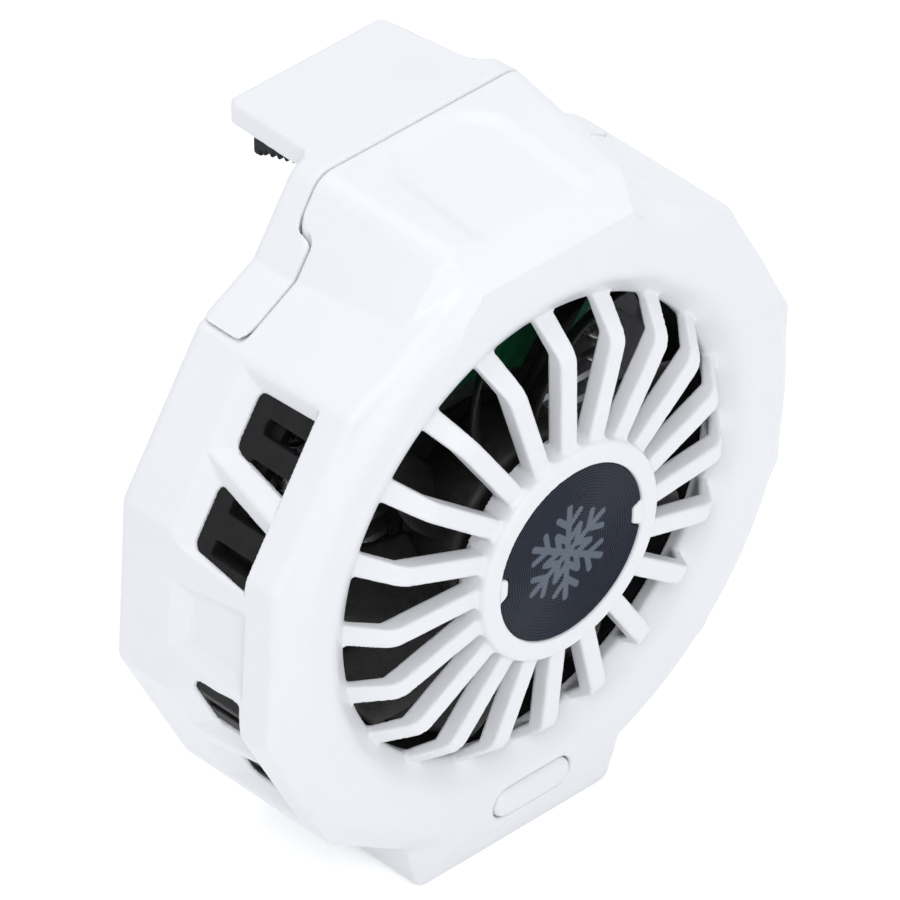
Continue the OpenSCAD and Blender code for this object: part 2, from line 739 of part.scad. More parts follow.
module arm_plan() {
    tip = arm_width / 2;
    corner = arm_reach - arm_corner;
    polygon([[-arm_root / 2, -z_in], [arm_root / 2, -z_in], [tip, corner], [tip - arm_corner, arm_reach],
        [arm_corner - tip, arm_reach], [-tip, corner]]);
    for (side = sides) translate([side * (tip - arm_corner), corner]) circle(arm_corner);
}

plate_gap = 0.2;                 // gap round the cold plate in the rear plate
module back_cover() color("white") facing() {
    difference() {
        translate([0, 0, back_gap]) linear_extrude(back_wall) difference() {
            union() {
                body_outline(apothem);
                polygon(block_outline(block_half, block_drop, block_shoulder, shoulder_y));
            }
            rounded_square(plate_side + 2 * plate_gap, plate_corner + plate_gap);
        }
        translate([-apothem, cheek_bottom - jaw_gap, back_gap - over])
            cube([body_flats, body_flats, back_wall + 2 * over]);
        each_back_post() translate([0, 0, back_gap - over]) {
            cylinder(r = screw_r + screw_play, h = back_wall + 2 * over);
            cylinder(r = head_r + screw_play, h = head_height + over);
        }
    }
    upwards(-block_drop, arm_thick) intersection() {
        arm_plan();
        translate([-arm_root / 2, -back_gap - back_wall / 2])
            square([arm_root, arm_reach + back_gap + back_wall]);
    }
}

module jaw_profile(inset) {
    body_outline(apothem - inset);
    polygon(hump_at(cap_depth, inset));
}

// Turns the sliding arm and its pad down towards the tip, about the arm's top edge at the back of the jaw
module drooping() {
    hinge = [0, arm_top, back_gap];
    translate(hinge) rotate([-arm_tilt, 0, 0]) translate(-hinge) children();
}

module sliding_jaw() color("white") facing() {
    leg_top = cheek_bottom + wall / 2;
    intersection() {
        jaw_room(0);
        difference() {
            translate([0, 0, back_gap]) linear_extrude(cheek_depth - back_gap) jaw_profile(0);
            translate([0, 0, z_in]) linear_extrude(cheek_depth) jaw_profile(wall);
        }
    }
    drooping() upwards(arm_top - arm_thick, arm_thick) arm_plan();
    for (side = sides) {
        translate([side * rod_x - leg_width / 2, cheek_bottom, back_gap])
            cube([leg_width, leg_top - cheek_bottom, z_leg + leg_thick - back_gap]);
        difference() {
            union() {
                translate([side * rod_x - leg_width / 2, lug_bottom, z_leg])
                    cube([leg_width, leg_top - lug_bottom, leg_thick]);
                translate([side * rod_x - lug_r, lug_bottom, z_leg])
                    cube([2 * lug_r, lug_height, rod_depth - z_leg]);
                upright(side * rod_x, rod_depth, lug_bottom, lug_top, lug_r);
            }
            upright(side * rod_x, rod_depth, lug_bottom - over, lug_top + over, rod_r + lug_play);
        }
    }
}

// Side view of a ribbed pad, with its flat side at height 0 and its ribs pointing up
pad_start = 0.4;
rib_flat = 0.4;                  // share of the spacing that is flat on top of a rib
module pad_side() {
    length = arm_reach - pad_margin - pad_start;
    ribs = floor(length / rib_pitch);
    step = length / ribs;
    slant = (1 - rib_flat) / 2 * step;
    crests = [for (i = [ribs : -1 : 1]) let (
        far = pad_start + i * step,
        top = pad_front + (pad_thick - pad_front) * i / ribs)
        each [[far, top - rib_height], [far - slant, top], [far - step + slant, top]]];
    flat_side = [[pad_start, 0], [pad_start + length, 0]];
    polygon(concat(flat_side, crests, [[pad_start, pad_front - rib_height]]));
}

module upper_pad() color("#1c1c1e") facing() drooping() {
    translate([0, arm_top - arm_thick, 0]) mirror([0, 1, 0]) across(arm_width - 2 * pad_margin) pad_side();
}

module lower_pad() color("#1c1c1e") facing() {
    translate([0, arm_thick - block_drop, 0]) across(arm_width - 2 * pad_margin) pad_side();
}

module contact_pad() color("#5b6670") facing() {
    linear_extrude(contact_thick) rounded_square(plate_side, plate_corner);
}

module cold_plate() color("silver") facing() difference() {
    union() {
        translate([0, 0, contact_thick]) linear_extrude(z_ceramic - contact_thick)
            rounded_square(plate_side, plate_corner);
        translate([0, 0, z_in]) linear_extrude(flange_thick)
            rounded_square(plate_side + 2 * plate_flange, plate_corner + plate_flange);
    }
    each_sink_screw() translate([0, 0, sink_screw_depth]) cylinder(r = screw_r + fixed_fit, h = z_ceramic);
}

module ceramic_slab(bottom) {
    translate([-module_side / 2, -module_side / 2, bottom]) cube([module_side, module_side, ceramic_thick]);
}

module cold_ceramic() color("whitesmoke") facing() ceramic_slab(z_ceramic);

module hot_ceramic() color("whitesmoke") facing() ceramic_slab(z_hot);

module thermo_legs() color("dimgray") facing() {
    pitch = module_side / pellet_rows;
    for (i = [0 : pellet_rows - 1], j = [0 : pellet_rows - 1])
        translate([(i + 0.5) * pitch - module_side / 2, (j + 0.5) * pitch - module_side / 2, z_pellet])
            translate([-pellet_side / 2, -pellet_side / 2, 0])
                cube([pellet_side, pellet_side, pellet_height]);
}

module heat_sink() color("silver") facing() difference() {
    fin_count = floor((sink_side - fin_thick) / fin_pitch);
    union() {
        translate([-sink_side / 2, -sink_side / 2, z_sink]) cube([sink_side, sink_side, sink_base]);
        for (i = [0 : fin_count])
            translate([-sink_side / 2, (i - fin_count / 2) * fin_pitch - fin_thick / 2, z_sink])
                cube([sink_side, fin_thick, z_fin_top - z_sink]);
    }
    each_sink_screw() {
        translate([0, 0, z_sink - over]) cylinder(r = screw_r + screw_play, h = sink_base + 2 * over);
        translate([0, 0, z_fin]) cylinder(r = head_r + screw_play, h = fin_height + over);
    }
}

module sink_screws() color("gray") facing() {
    each_sink_screw() translate([0, 0, z_fin]) mirror([0, 0, 1])
        screw(z_fin - sink_screw_depth - screw_play);
}

// Fan
z_duct_top = z_collar - 0.3;
liner_low = z_in + back_post_depth + leg_gap;
liner_step = z_fin_top - board_lift;
liner_core = 35;                 // half of the angle over which the liner reaches back to liner_low
liner_end = 1;                   // height of the liner's rim in front of its slots
z_slot = z_bracket + bracket_thick / 2;
rib_thick = 1;
tube_r = sleeve_r + tube_wall;
tube_top = z_stator_top + coil_overhang / 2;
base_floor = 0.4;

module sector(radius, from, to) {
    steps = 8;
    polygon(concat([[0, 0]], [for (i = [0 : steps]) let (a = from + (to - from) * i / steps)
        2 * radius * [cos(a), sin(a)]]));
}

module liner_side() {
    slot_half = liner_r * liner_half / liner_slots * PI / 180 - rib_thick;
    rib_start = duct_r + duct_wall / 2;
    difference() {
        for (zone = [[liner_half, liner_step], [liner_core, liner_low]]) intersection() {
            ring(liner_r + liner_wall, liner_r, zone[1], z_split - lip_gap);
            translate([0, 0, zone[1]]) linear_extrude(z_split) sector(liner_r, -zone[0], zone[0]);
        }
        for (i = [0 : liner_slots - 1]) rotate((i + 0.5) * 2 * liner_half / liner_slots - liner_half)
            translate([liner_r - over, -slot_half, z_slot])
                cube([liner_wall + 2 * over, 2 * slot_half, z_split - lip_gap - z_slot - liner_end]);
    }
    for (i = [0 : liner_slots]) rotate(i * 2 * (liner_half - 1) / liner_slots - liner_half + 1)
        translate([rib_start, -rib_thick / 2, z_bracket + sunk])
            cube([liner_r + liner_wall / 2 - rib_start, rib_thick, z_split - z_bracket - 4 * sunk]);
}

module fan_frame() color("#18181a") facing() difference() {
    union() {
        ring(duct_r + duct_wall, duct_r, z_bracket, z_duct_top);
        post(0, 0, z_bracket, z_motor_board, cup_r);
        post(0, 0, z_bracket, tube_top, tube_r);
        for (angle = screw_angles) rotate(angle) {
            translate([cup_r - over, -bracket_arm / 2, z_bracket + sunk])
                cube([duct_r - cup_r + over + duct_wall / 2, bracket_arm, bracket_thick - 2 * sunk]);
            translate([0, 0, z_lug + lug_plate]) linear_extrude(ear_thick) {
                translate([duct_r + duct_wall / 2, -post_r])
                    square([front_screw_r - duct_r - duct_wall / 2, 2 * post_r]);
                translate([front_screw_r, 0]) circle(post_r);
            }
        }
        liner_side();
        mirror([1, 0, 0]) liner_side();
    }
    translate([0, 0, z_bracket + base_floor]) cylinder(r = sleeve_r + fixed_fit, h = z_cup_in);
    each_front_screw() translate([0, 0, z_lug])
        cylinder(r = screw_r + screw_play, h = 2 * (lug_plate + ear_thick));
}

// A twisted, swept blade: rows run from the cup to the tip, columns from the back edge to the front edge
blade_lift = 0.2;                // step from the cup's rear edge to the blades
blade_rows = 7;
blade_columns = 6;
blade_fade = 0.35;               // loss of turn from the cup to the tip
blade_bow = 0.15;                // bow of a blade between its back edge and its front edge
blade_root_r = cup_r - cup_wall / 2;
function blade_point(i, j, side) = let (
    u = i / blade_rows,
    v = j / blade_columns,
    radius = blade_root_r + u * (blade_tip_r - blade_root_r),
    angle = blade_turn * (1 - blade_fade * u) * (v - blade_bow * v * v) - blade_sweep * u * u
        + side * blade_thick / 2 / radius * 180 / PI)
    [radius * cos(angle), radius * sin(angle), z_blade + blade_lift + v * blade_depth];

module blade() {
    row = blade_columns + 1;
    half = (blade_rows + 1) * row;
    points = [for (side = sides, i = [0 : blade_rows], j = [0 : blade_columns]) blade_point(i, j, side)];
    skin = [for (i = [0 : blade_rows - 1], j = [0 : blade_columns - 1]) let (
        a = i * row + j, b = half + a) each [
        [a, a + 1, a + row + 1], [a, a + row + 1, a + row],
        [b, b + row + 1, b + 1], [b, b + row, b + row + 1]]];
    long_edges = [for (i = [0 : blade_rows - 1]) let (a = i * row, b = a + blade_columns) each [
        [a, a + row, half + a + row], [a, half + a + row, half + a],
        [b + row, b, half + b], [b + row, half + b, half + b + row]]];
    short_edges = [for (j = [0 : blade_columns - 1]) let (a = j, b = blade_rows * row + j) each [
        [a + 1, a, half + a], [a + 1, half + a, half + a + 1],
        [b, b + 1, half + b + 1], [b, half + b + 1, half + b]]];
    polyhedron(points, concat(skin, long_edges, short_edges));
}

module fan_rotor() color("#202022") facing() {
    boss_r = 2 * shaft_r;
    difference() {
        post(0, 0, z_blade, z_cup_top, cup_r);
        post(0, 0, z_blade - over, z_cup_in, cup_r - cup_wall);
        post(0, 0, z_cup_in - over, z_cup_top - cup_wall / 4, shaft_r + fixed_fit);
    }
    ring(boss_r, shaft_r + fixed_fit, z_cup_in - run_gap / 2, z_cup_in + cup_wall / 4);
    for (i = [0 : blade_count - 1]) rotate(blade_start + i * 360 / blade_count) blade();
}

module magnet_ring() color("dimgray") facing() {
    outer = cup_r - cup_wall - fixed_fit;
    ring(outer, outer - magnet_thick, z_stator - coil_overhang / 2, z_cup_in);
}

module rotor_shaft() color("lightgray") facing() {
    post(0, 0, z_bracket + base_floor + fixed_fit, z_cup_top - cup_wall / 4, shaft_r);
}

module bearing_sleeve() color("goldenrod") facing() {
    ring(sleeve_r, shaft_r + shaft_play, z_bracket + base_floor, tube_top);
}

pole_width = 1.8;
yoke_wall = 0.8;
shoe_depth = 1;
pole_gap = 2;
coil_gap = 0.1;                  // room between the windings and what is round them

module each_pole() {
    for (i = [0 : pole_count - 1]) rotate(i * 360 / pole_count) children();
}

module stator_core() color("gray") facing() {
    translate([0, 0, z_stator]) linear_extrude(stator_thick) difference() {
        union() {
            circle(tube_r + yoke_wall);
            difference() {
                circle(stator_r);
                circle(stator_r - shoe_depth);
                rotate(180 / pole_count) each_pole()
                    translate([0, -pole_gap / 2]) square([stator_r + over, pole_gap]);
            }
            each_pole() translate([tube_r, -pole_width / 2])
                square([stator_r - tube_r - shoe_depth / 2, pole_width]);
        }
        circle(tube_r + fixed_fit);
    }
}

module stator_coils() color("#b87333") facing() {
    start = tube_r + yoke_wall + coil_gap;
    wind = coil_overhang - coil_gap;
    length = sqrt(pow(stator_r - shoe_depth - coil_gap, 2) - pow(pole_width / 2 + wind, 2)) - start;
    each_pole() difference() {
        translate([start, -pole_width / 2 - wind, z_stator - wind])
            cube([length, pole_width + 2 * wind, stator_thick + 2 * wind]);
        translate([start - over, -pole_width / 2 - fixed_fit, z_stator - fixed_fit])
            cube([length + 2 * over, pole_width + 2 * fixed_fit, stator_thick + 2 * fixed_fit]);
    }
}

module motor_board() color("darkgreen") facing() {
    top = z_motor_board + board_thick - coil_gap;
    ring(cup_r - cup_wall - run_gap, tube_r + fixed_fit, z_motor_board, top);
}

module control_board() color("#1e6b45") facing() {
    translate([0, 0, z_board]) linear_extrude(board_thick) intersection() {
        difference() {
            circle(duct_r);
            circle(board_in_r);
        }
        sector(duct_r, board_from, board_to);
    }
}

chip_count = 4;
chip_angle = 15;
chip_side = 3.2;
chip_height = 1;
module board_chips() color("#1a1a1a") facing() {
    for (i = [0 : chip_count - 1]) rotate(board_from + chip_angle * (i + 2))
        translate([(board_in_r + duct_r) / 2, -chip_side / 2, z_bracket])
            cube([chip_side + i % 2, chip_side, chip_height]);
}

module port_board() color("#1e6b45") facing() {
    translate([-port_board_half, board_bottom, z_port_board])
        cube([2 * port_board_half, board_top - board_bottom, board_thick]);
}

module port_shell() color("silver") facing() {
    upwards(port_bottom, port_length) translate([0, -z_port]) difference() {
        stadium(port_width, port_height);
        stadium(port_width - 2 * port_sheet, port_height - 2 * port_sheet);
    }
}

tongue_width = 6.69;
tongue_thick = 0.7;
tongue_sunk = 0.8;
plug_floor = 1.4;
module port_tongue() color("#1a1a1a") facing() {
    upwards(port_bottom + tongue_sunk, port_length - tongue_sunk) translate([0, -z_port])
        square([tongue_width, tongue_thick], center = true);
    upwards(port_bottom + port_length - plug_floor, plug_floor) translate([0, -z_port])
        stadium(port_width - 2 * port_sheet - fixed_fit, port_height - 2 * port_sheet - fixed_fit);
}

module switch_body() color("#2a2a2c") facing() difference() {
    translate([-switch_side / 2, -button_drop - switch_side / 2 + flange_margin, z_switch])
        cube([switch_side, switch_side - flange_margin, switch_height]);
    post(0, -button_drop, z_switch + plunger_sunk, z_switch + switch_height + over,
        plunger_r + plunger_play);
}

module switch_plunger() color("#b03a2e") facing() {
    post(0, -button_drop, z_switch + plunger_sunk + button_travel + plunger_play, z_flange, plunger_r);
}

module power_button() color("white") facing() {
    translate([0, -button_drop, z_flange]) {
        linear_extrude(z_face + button_proud - z_flange) stadium(button_length, button_height);
        linear_extrude(flange_height)
            stadium(button_length + 2 * flange_margin, button_height + 2 * flange_margin);
    }
}

module guide_rods() color("silver") facing() {
    for (side = sides) upright(side * rod_x, rod_depth, -rod_half, rod_half, rod_r);
}

// One unbroken wire wound round each rod, between the jaw's lug and the upper boss
coil_steps = 8;
wire_sides = 6;
module clamp_springs() color("silver") facing() {
    low = lug_top + spring_wire / 2 + fixed_fit;
    length = boss_under - fixed_fit - spring_wire / 2 - low;
    mean_r = spring_r - spring_wire / 2;
    rings = spring_turns * coil_steps;
    points = [for (k = [0 : rings], m = [0 : wire_sides - 1]) let (
        angle = 360 * k / coil_steps, turn = 360 * m / wire_sides, r = mean_r + spring_wire / 2 * cos(turn))
        [r * cos(angle), r * sin(angle), low + length * k / rings + spring_wire / 2 * sin(turn)]];
    skin = [for (k = [0 : rings - 1], m = [0 : wire_sides - 1]) let (
        a = k * wire_sides + m, b = k * wire_sides + (m + 1) % wire_sides) each [
        [a, b, b + wire_sides], [a, b + wire_sides, a + wire_sides]]];
    ends = [[for (m = [wire_sides - 1 : -1 : 0]) m],
        [for (m = [0 : wire_sides - 1]) rings * wire_sides + m]];
    for (side = sides) translate([side * rod_x, 0, rod_depth]) rotate([-90, 0, 0])
        polyhedron(points, concat(skin, ends));
}

module front_screws() color("gray") facing() {
    each_front_screw() translate([0, 0, z_lug]) screw(front_screw_length);
}

module back_screws() color("gray") facing() {
    each_back_post() translate([0, 0, back_gap + head_height]) screw(back_screw_length);
}

main_housing();
front_cover();
hub_disc();
back_cover();
sliding_jaw();
upper_pad();
lower_pad();
contact_pad();
cold_plate();
cold_ceramic();
thermo_legs();
hot_ceramic();
heat_sink();
sink_screws();
fan_frame();
fan_rotor();
magnet_ring();
rotor_shaft();
bearing_sleeve();
stator_core();
stator_coils();
motor_board();
control_board();
board_chips();
port_board();
port_shell();
port_tongue();
switch_body();
switch_plunger();
power_button();
guide_rods();
clamp_springs();
front_screws();
back_screws();
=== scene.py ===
import bpy
import bmesh
import math
import numpy as np
from mathutils import Matrix, Vector


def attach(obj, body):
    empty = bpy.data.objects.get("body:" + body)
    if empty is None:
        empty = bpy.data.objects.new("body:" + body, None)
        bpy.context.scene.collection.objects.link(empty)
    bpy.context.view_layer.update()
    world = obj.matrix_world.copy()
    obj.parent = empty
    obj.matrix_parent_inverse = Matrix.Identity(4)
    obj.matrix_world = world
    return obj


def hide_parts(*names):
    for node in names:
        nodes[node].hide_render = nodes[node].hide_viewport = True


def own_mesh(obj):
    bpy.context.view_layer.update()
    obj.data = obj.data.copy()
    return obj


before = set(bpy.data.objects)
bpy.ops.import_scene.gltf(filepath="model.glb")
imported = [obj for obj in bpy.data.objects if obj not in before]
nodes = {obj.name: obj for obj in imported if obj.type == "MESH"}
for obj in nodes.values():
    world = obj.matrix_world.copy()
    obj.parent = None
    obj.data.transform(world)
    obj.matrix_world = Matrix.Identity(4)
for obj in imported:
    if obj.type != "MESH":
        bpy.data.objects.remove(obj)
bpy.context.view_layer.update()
scene = bpy.context.scene
MM = 0.001

# Shapes are drawn in millimetres as seen from the front: x right, y up, z the distance in front of the phone.
FLAT = 34.7                                     # from the axis to each of the body's twelve flats
WALL = 1.8
CORE = 12.0                                     # how near to the axis the hump and the bottom block begin
SINK = 0.5                                      # how far below the outside the housing's inner forms end
Z_BACK, Z_IN, Z_SPLIT = 0.8, 2.8, 18.4          # back, front of the rear plate, edge of the cover
Z_RIM, Z_FACE, Z_HUB = 22.1, 23.7, 27.1         # front of the rim, of the bezel and of the hub disc
HUMP_HALF, HUMP_FOOT, HUMP_TOP, Z_RIDGE = 11.45, 16.65, 36.6, 19.8      # the hump at its front ridge
HUMP_SLOPE, HUMP_DRAFT = 0.12, 0.11             # its rise and widening towards the back
HUMP_SINK, HUMP_SCALE = 0.1, 0.991              # its foot below the facet, and the top's distance per height
BLOCK_DROP, BLOCK_HALF, BLOCK_SHOULDER, SHOULDER_Y = 37.6, 11.9, 14.9, 31.37
CHAMFER_WIDTH, CHAMFER_HEIGHT = 1.2, 0.6        # at the block's lower corners
CAP_Z, CHEEK_Z, CHEEK_Y = 4.3, 6.5, 25.6        # the jaw's cap and cheeks
STEP_X, STEP_Y, STEP_RISE, STEP_ROUND, JAW_GAP = 15.71, 33.1, 0.9, 1.1, 0.18
CAP_TOP = HUMP_TOP + (Z_RIDGE - CAP_Z) * HUMP_SLOPE
CAP_FOOT = HUMP_FOOT + (Z_RIDGE - CAP_Z) * HUMP_DRAFT
ARM_ROOT, ARM_HALF, ARM_TOP, ARM_THICK, ARM_REACH, ARM_CORNER = 11.3, 10.3, 38.26, 2.6, 10.9, 0.9
ARM_TILT, Z_ARM_ROOT = math.radians(3.5), 1.9
PAD_MARGIN, PAD_START, PAD_FRONT, PAD_THICK = 1.7, 0.4, 1.4, 3.5
RIB, RIB_PITCH, RIB_SCALE = 0.7, 0.9, 0.62      # ribs' height and spacing, distance per height
DISH_R, OPENING_R, Z_DISH, Z_COLLAR = 27.8, 24.8, 21.5, 20.1
ROD_X, ROD_Z, ROD_R = 21.2, 9.1, 1.0
BUTTON_Y, BUTTON_LENGTH, BUTTON_HEIGHT, BUTTON_GAP = -30.6, 10.2, 3.2, 0.3
Z_BUTTON, Z_BUTTON_BACK, Z_FLANGE = 24.2, 20.6, 21.4


# Camera: the photograph's view is almost parallel, from the front left and above.
def make_camera():
    azimuth, elevation, roll = map(math.radians, (-46.5, 37.1, 2.8))
    image_size, sensor = 900, 36
    pixels_per_metre, focal_pixels = 10526.0, 14000.0
    hub_right, hub_down = [(p - image_size / 2) / pixels_per_metre for p in (570.8, 552.2)]
    back = Vector((math.sin(azimuth) * math.cos(elevation), -math.cos(azimuth) * math.cos(elevation),
                   math.sin(elevation)))
    level_right = Vector((math.cos(azimuth), math.sin(azimuth), 0))
    level_up = back.cross(level_right)
    right = level_right * math.cos(roll) + level_up * math.sin(roll)
    up = level_up * math.cos(roll) - level_right * math.sin(roll)
    aim = Vector((0, -Z_HUB * MM, 0)) - right * hub_right + up * hub_down
    data = bpy.data.cameras.new("camera")
    data.sensor_width = sensor
    data.lens = focal_pixels * sensor / image_size
    data.clip_start, data.clip_end = 0.05, 20
    cam = bpy.data.objects.new("camera", data)
    scene.collection.objects.link(cam)
    turn = Matrix((right, up, back)).transposed()
    cam.matrix_world = Matrix.Translation(aim + back * (focal_pixels / pixels_per_metre)) @ turn.to_4x4()
    scene.camera = cam


make_camera()


# Rounded solids as distance fields: a value below 0 is inside, and k sets how softly two faces meet.
def smin(a, b, k):
    h = np.maximum(k - np.abs(a - b), 0) / k
    return np.minimum(a, b) - h * h * k * 0.25


def smax(a, b, k):
    h = np.maximum(k - np.abs(a - b), 0) / k
    return np.maximum(a, b) + h * h * k * 0.25


def hull(parts, k):
    d = parts[0]
    for part in parts[1:]:
        d = smax(d, part, k)
    return d


def box(x, y, z, low, high):
    return np.maximum.reduce([low[0] - x, x - high[0], low[1] - y, y - high[1], low[2] - z, z - high[2]])


def round_box(u, v, half_u, half_v, radius):
    a, b = np.abs(u) - half_u + radius, np.abs(v) - half_v + radius
    return np.hypot(np.maximum(a, 0), np.maximum(b, 0)) + np.minimum(np.maximum(a, b), 0) - radius


def stadium(x, y, length, height):
    return np.hypot(np.maximum(np.abs(x) - (length - height) / 2, 0), y) - height / 2


def plane_through(a, b, c, inside):
    a, b, c, inside = map(np.array, (a, b, c, inside))
    n = np.cross(b - a, c - a).astype(float)
    n /= np.linalg.norm(n)
    if n @ (inside - a) > 0:
        n = -n
    return n, float(n @ a)


def polar_fold(x, y, step):
    r = np.hypot(x, y)
    a = np.arctan2(y, x)
    a = np.mod(a + step / 2, step) - step / 2
    return r, a


# The body's twelve flats
def twelve(x, y):
    r, a = polar_fold(x, y, math.pi / 6)
    a = np.abs(a)
    return smax(r * np.cos(a), r * np.cos(math.pi / 6 - a), k=0.22) - FLAT


# Height at which a foot of this half width meets the facet beside the top one
def facet_height(half):
    return (FLAT - half * 0.5) / math.cos(math.pi / 6) - HUMP_SINK


def hump_form(x, y, top, foot):
    rise = top - facet_height(foot)
    run = HUMP_FOOT - HUMP_HALF
    side = ((np.abs(x) - foot) * rise + (y - facet_height(foot)) * run) / np.sqrt(rise * rise + run * run)
    return np.maximum(smax(side, (y - top) * HUMP_SCALE, k=1.4), CORE - y)


def hump(x, y, z):
    back_of_ridge = Z_RIDGE - z
    return hump_form(x, y, HUMP_TOP + back_of_ridge * HUMP_SLOPE, HUMP_FOOT + back_of_ridge * HUMP_DRAFT)


# Bottom block with the flat underside
def block(x, y):
    out = np.abs(x) - BLOCK_HALF
    up = y + BLOCK_DROP
    bevel = (out * CHAMFER_HEIGHT - up * CHAMFER_WIDTH) / math.hypot(CHAMFER_WIDTH, CHAMFER_HEIGHT)
    run = BLOCK_SHOULDER - BLOCK_HALF - CHAMFER_WIDTH
    rise = BLOCK_DROP - CHAMFER_HEIGHT - SHOULDER_Y
    side = ((out - CHAMFER_WIDTH) * rise - (up - CHAMFER_HEIGHT) * run) / math.hypot(rise, run)
    return np.maximum(hull([-up, bevel, side], k=0.5), y + CORE)


def body(x, y, z):
    return smin(smin(twelve(x, y), hump(x, y, z), k=0.12), block(x, y), k=0.5)


# The shallow panel in the hump's top, with slanted walls; the scales bring their values near true distances
PANEL_X, PANEL_HALF, PANEL_DEPTH, PANEL_RUN, Z_PANEL, Z_PANEL_CORNER = -0.4, 6.4, 0.5, 1.6, 6.6, 8.7
PANEL_SCALE, CORNER_SCALE = 1.9, 2.1


def panel(x, y, z):
    down = HUMP_TOP + (Z_RIDGE - z) * HUMP_SLOPE - y
    out = np.abs(x - PANEL_X) - PANEL_HALF
    inset = (PANEL_DEPTH - down) * PANEL_RUN
    wall_x = (out - inset) / PANEL_SCALE
    wall_z = (Z_PANEL - z - inset) / PANEL_SCALE
    corner = (out + (Z_PANEL_CORNER - z) - inset) / CORNER_SCALE
    return hull([wall_x, wall_z, corner, down - PANEL_DEPTH], k=0.5)


# Room that the sliding jaw takes out of the body, larger by a gap
def room(x, y, z, gap):
    run = CHEEK_Z - CAP_Z
    slope = ((z - CHEEK_Z) * STEP_RISE + (y - STEP_Y) * run) / math.hypot(run, STEP_RISE)
    cheek = smax(z - CHEEK_Z - gap, slope - gap, STEP_ROUND)
    cheek = np.maximum(cheek, STEP_X + JAW_GAP - gap - np.abs(x))
    return smax(smin(z - CAP_Z - gap, cheek, STEP_ROUND), CHEEK_Y - gap - y, STEP_ROUND)


# Side vents: each opening is [low, high] along its facet at Z_VENT and at Z_VENT_FRONT
UPPER_VENTS = [[[-6.8, -0.6], [-7.1, 1.1]], [[2.9, 9.7], [4.9, 10.7]]]
LOWER_VENTS = [[[-12.0, -4.2], [-12.4, -5.4]], [[1.5, 5.9], [-1.9, 5.7]]]
POCKET = [[-2.5, 2.9], [-3.8, 3.6]]
UPPER_FACET, SIDE_FACET, LOWER_FACET = 150, 180, 210
Z_VENT, Z_VENT_LOW, Z_VENT_FRONT = 10.2, 11.8, 17.8
VENT_DEPTH, VENT_SIDE, VENT_BEVEL, VENT_LIP, VENT_REACH = 1.1, 1.6, 2.2, 0.25, 1.2
VENTS = ([(UPPER_FACET, span, Z_VENT) for span in UPPER_VENTS]
         + [(LOWER_FACET, span, Z_VENT_LOW) for span in LOWER_VENTS])


# Depth below the facet, and distances to the opening's two sides, back edge and front edge
def vent_edges(x, y, z, facet, span, z_back):
    c, s = math.cos(math.radians(facet)), math.sin(math.radians(facet))
    t = c * y - s * x
    edges = []
    for side, (back, front) in ((-1, (span[0][0], span[1][0])), (1, (span[0][1], span[1][1]))):
        slope = (front - back) / (Z_VENT_FRONT - Z_VENT)
        edges.append(side * (t - back - slope * (z - Z_VENT)) / math.hypot(1, slope))
    return c * x + s * y - FLAT, edges + [z_back - z, z - Z_VENT_FRONT]


# Bevelled hollow around an opening
def vent_frame(depth, edges, z_back):
    widths = [VENT_SIDE, VENT_SIDE, VENT_BEVEL + z_back - Z_VENT, VENT_LIP]
    spread = 1 + depth / VENT_DEPTH
    bevels = [(e - w * spread) / math.hypot(1, w / VENT_DEPTH) for e, w in zip(edges, widths)]
    return smax(hull(bevels, k=0.15), -depth - VENT_DEPTH, k=0.12)


def vent_window(depth, edges):
    return np.maximum(smax(hull(edges[:3], k=1.0), edges[3], k=0.4), -depth - WALL - VENT_REACH)


def vents(x, y, z):
    cuts = [vent_frame(*vent_edges(-np.abs(x), y, z, SIDE_FACET, POCKET, Z_VENT), Z_VENT)]
    for facet, span, z_back in VENTS:
        depth, edges = vent_edges(-np.abs(x), y, z, facet, span, z_back)
        cuts.append(smin(vent_frame(depth, edges, z_back), vent_window(depth, edges), k=0.15))
    return np.minimum.reduce(cuts)


# Face of the fan frame's slotted liner, on the inside of the wall and in the openings up to their rims
LINER_R, LINER_GAP, Z_LINER, Z_LINER_FRONT = 31.7, 0.12, 8.8, Z_SPLIT - 0.3
LINER_SINK, LINER_COVER, LINER_GRIP = 0.2, 0.3, 0.05    # below hollow and outside, into the opening's wall
LINER_HALF, SLOT_TOP, SLOT_PITCH = 42.5, 37.0, 7.2      # in degrees
SLOT_HALF, Z_SLOT, Z_SLOT_FRONT = 0.8, 12.2, Z_SPLIT - 1.3


def liner_face(x, y, z):
    r = np.hypot(x, y)
    angle = np.degrees(np.arctan2(np.abs(y), np.abs(x)))
    outer = twelve(x, y)
    plugs = []
    for facet, span, z_back in VENTS:
        depth, edges = vent_edges(-np.abs(x), y, z, facet, span, z_back)
        rim = np.maximum(depth + VENT_DEPTH + LINER_SINK, outer + LINER_COVER)
        plugs.append(np.maximum(vent_window(depth, edges) - LINER_GRIP, rim))
    face = np.minimum.reduce([outer + WALL + LINER_GAP] + plugs)
    side = (angle - LINER_HALF) * math.radians(1) * LINER_R
    face = np.maximum.reduce([face, LINER_R - r, side, Z_LINER - z, z - Z_LINER_FRONT])
    turn = np.mod(angle - SLOT_TOP + SLOT_PITCH / 2, SLOT_PITCH) - SLOT_PITCH / 2
    across = np.abs(turn) * math.radians(1) * r - SLOT_HALF
    return smax(face, -hull([across, Z_SLOT - z, z - Z_SLOT_FRONT], k=0.3), k=0.15)


# A shape of the distance from each place and from its mirror image
def each_place(x, y, places, shape):
    ax = np.abs(x)
    return np.minimum.reduce([shape(np.hypot(ax - px, y - py)) for px, py in places])


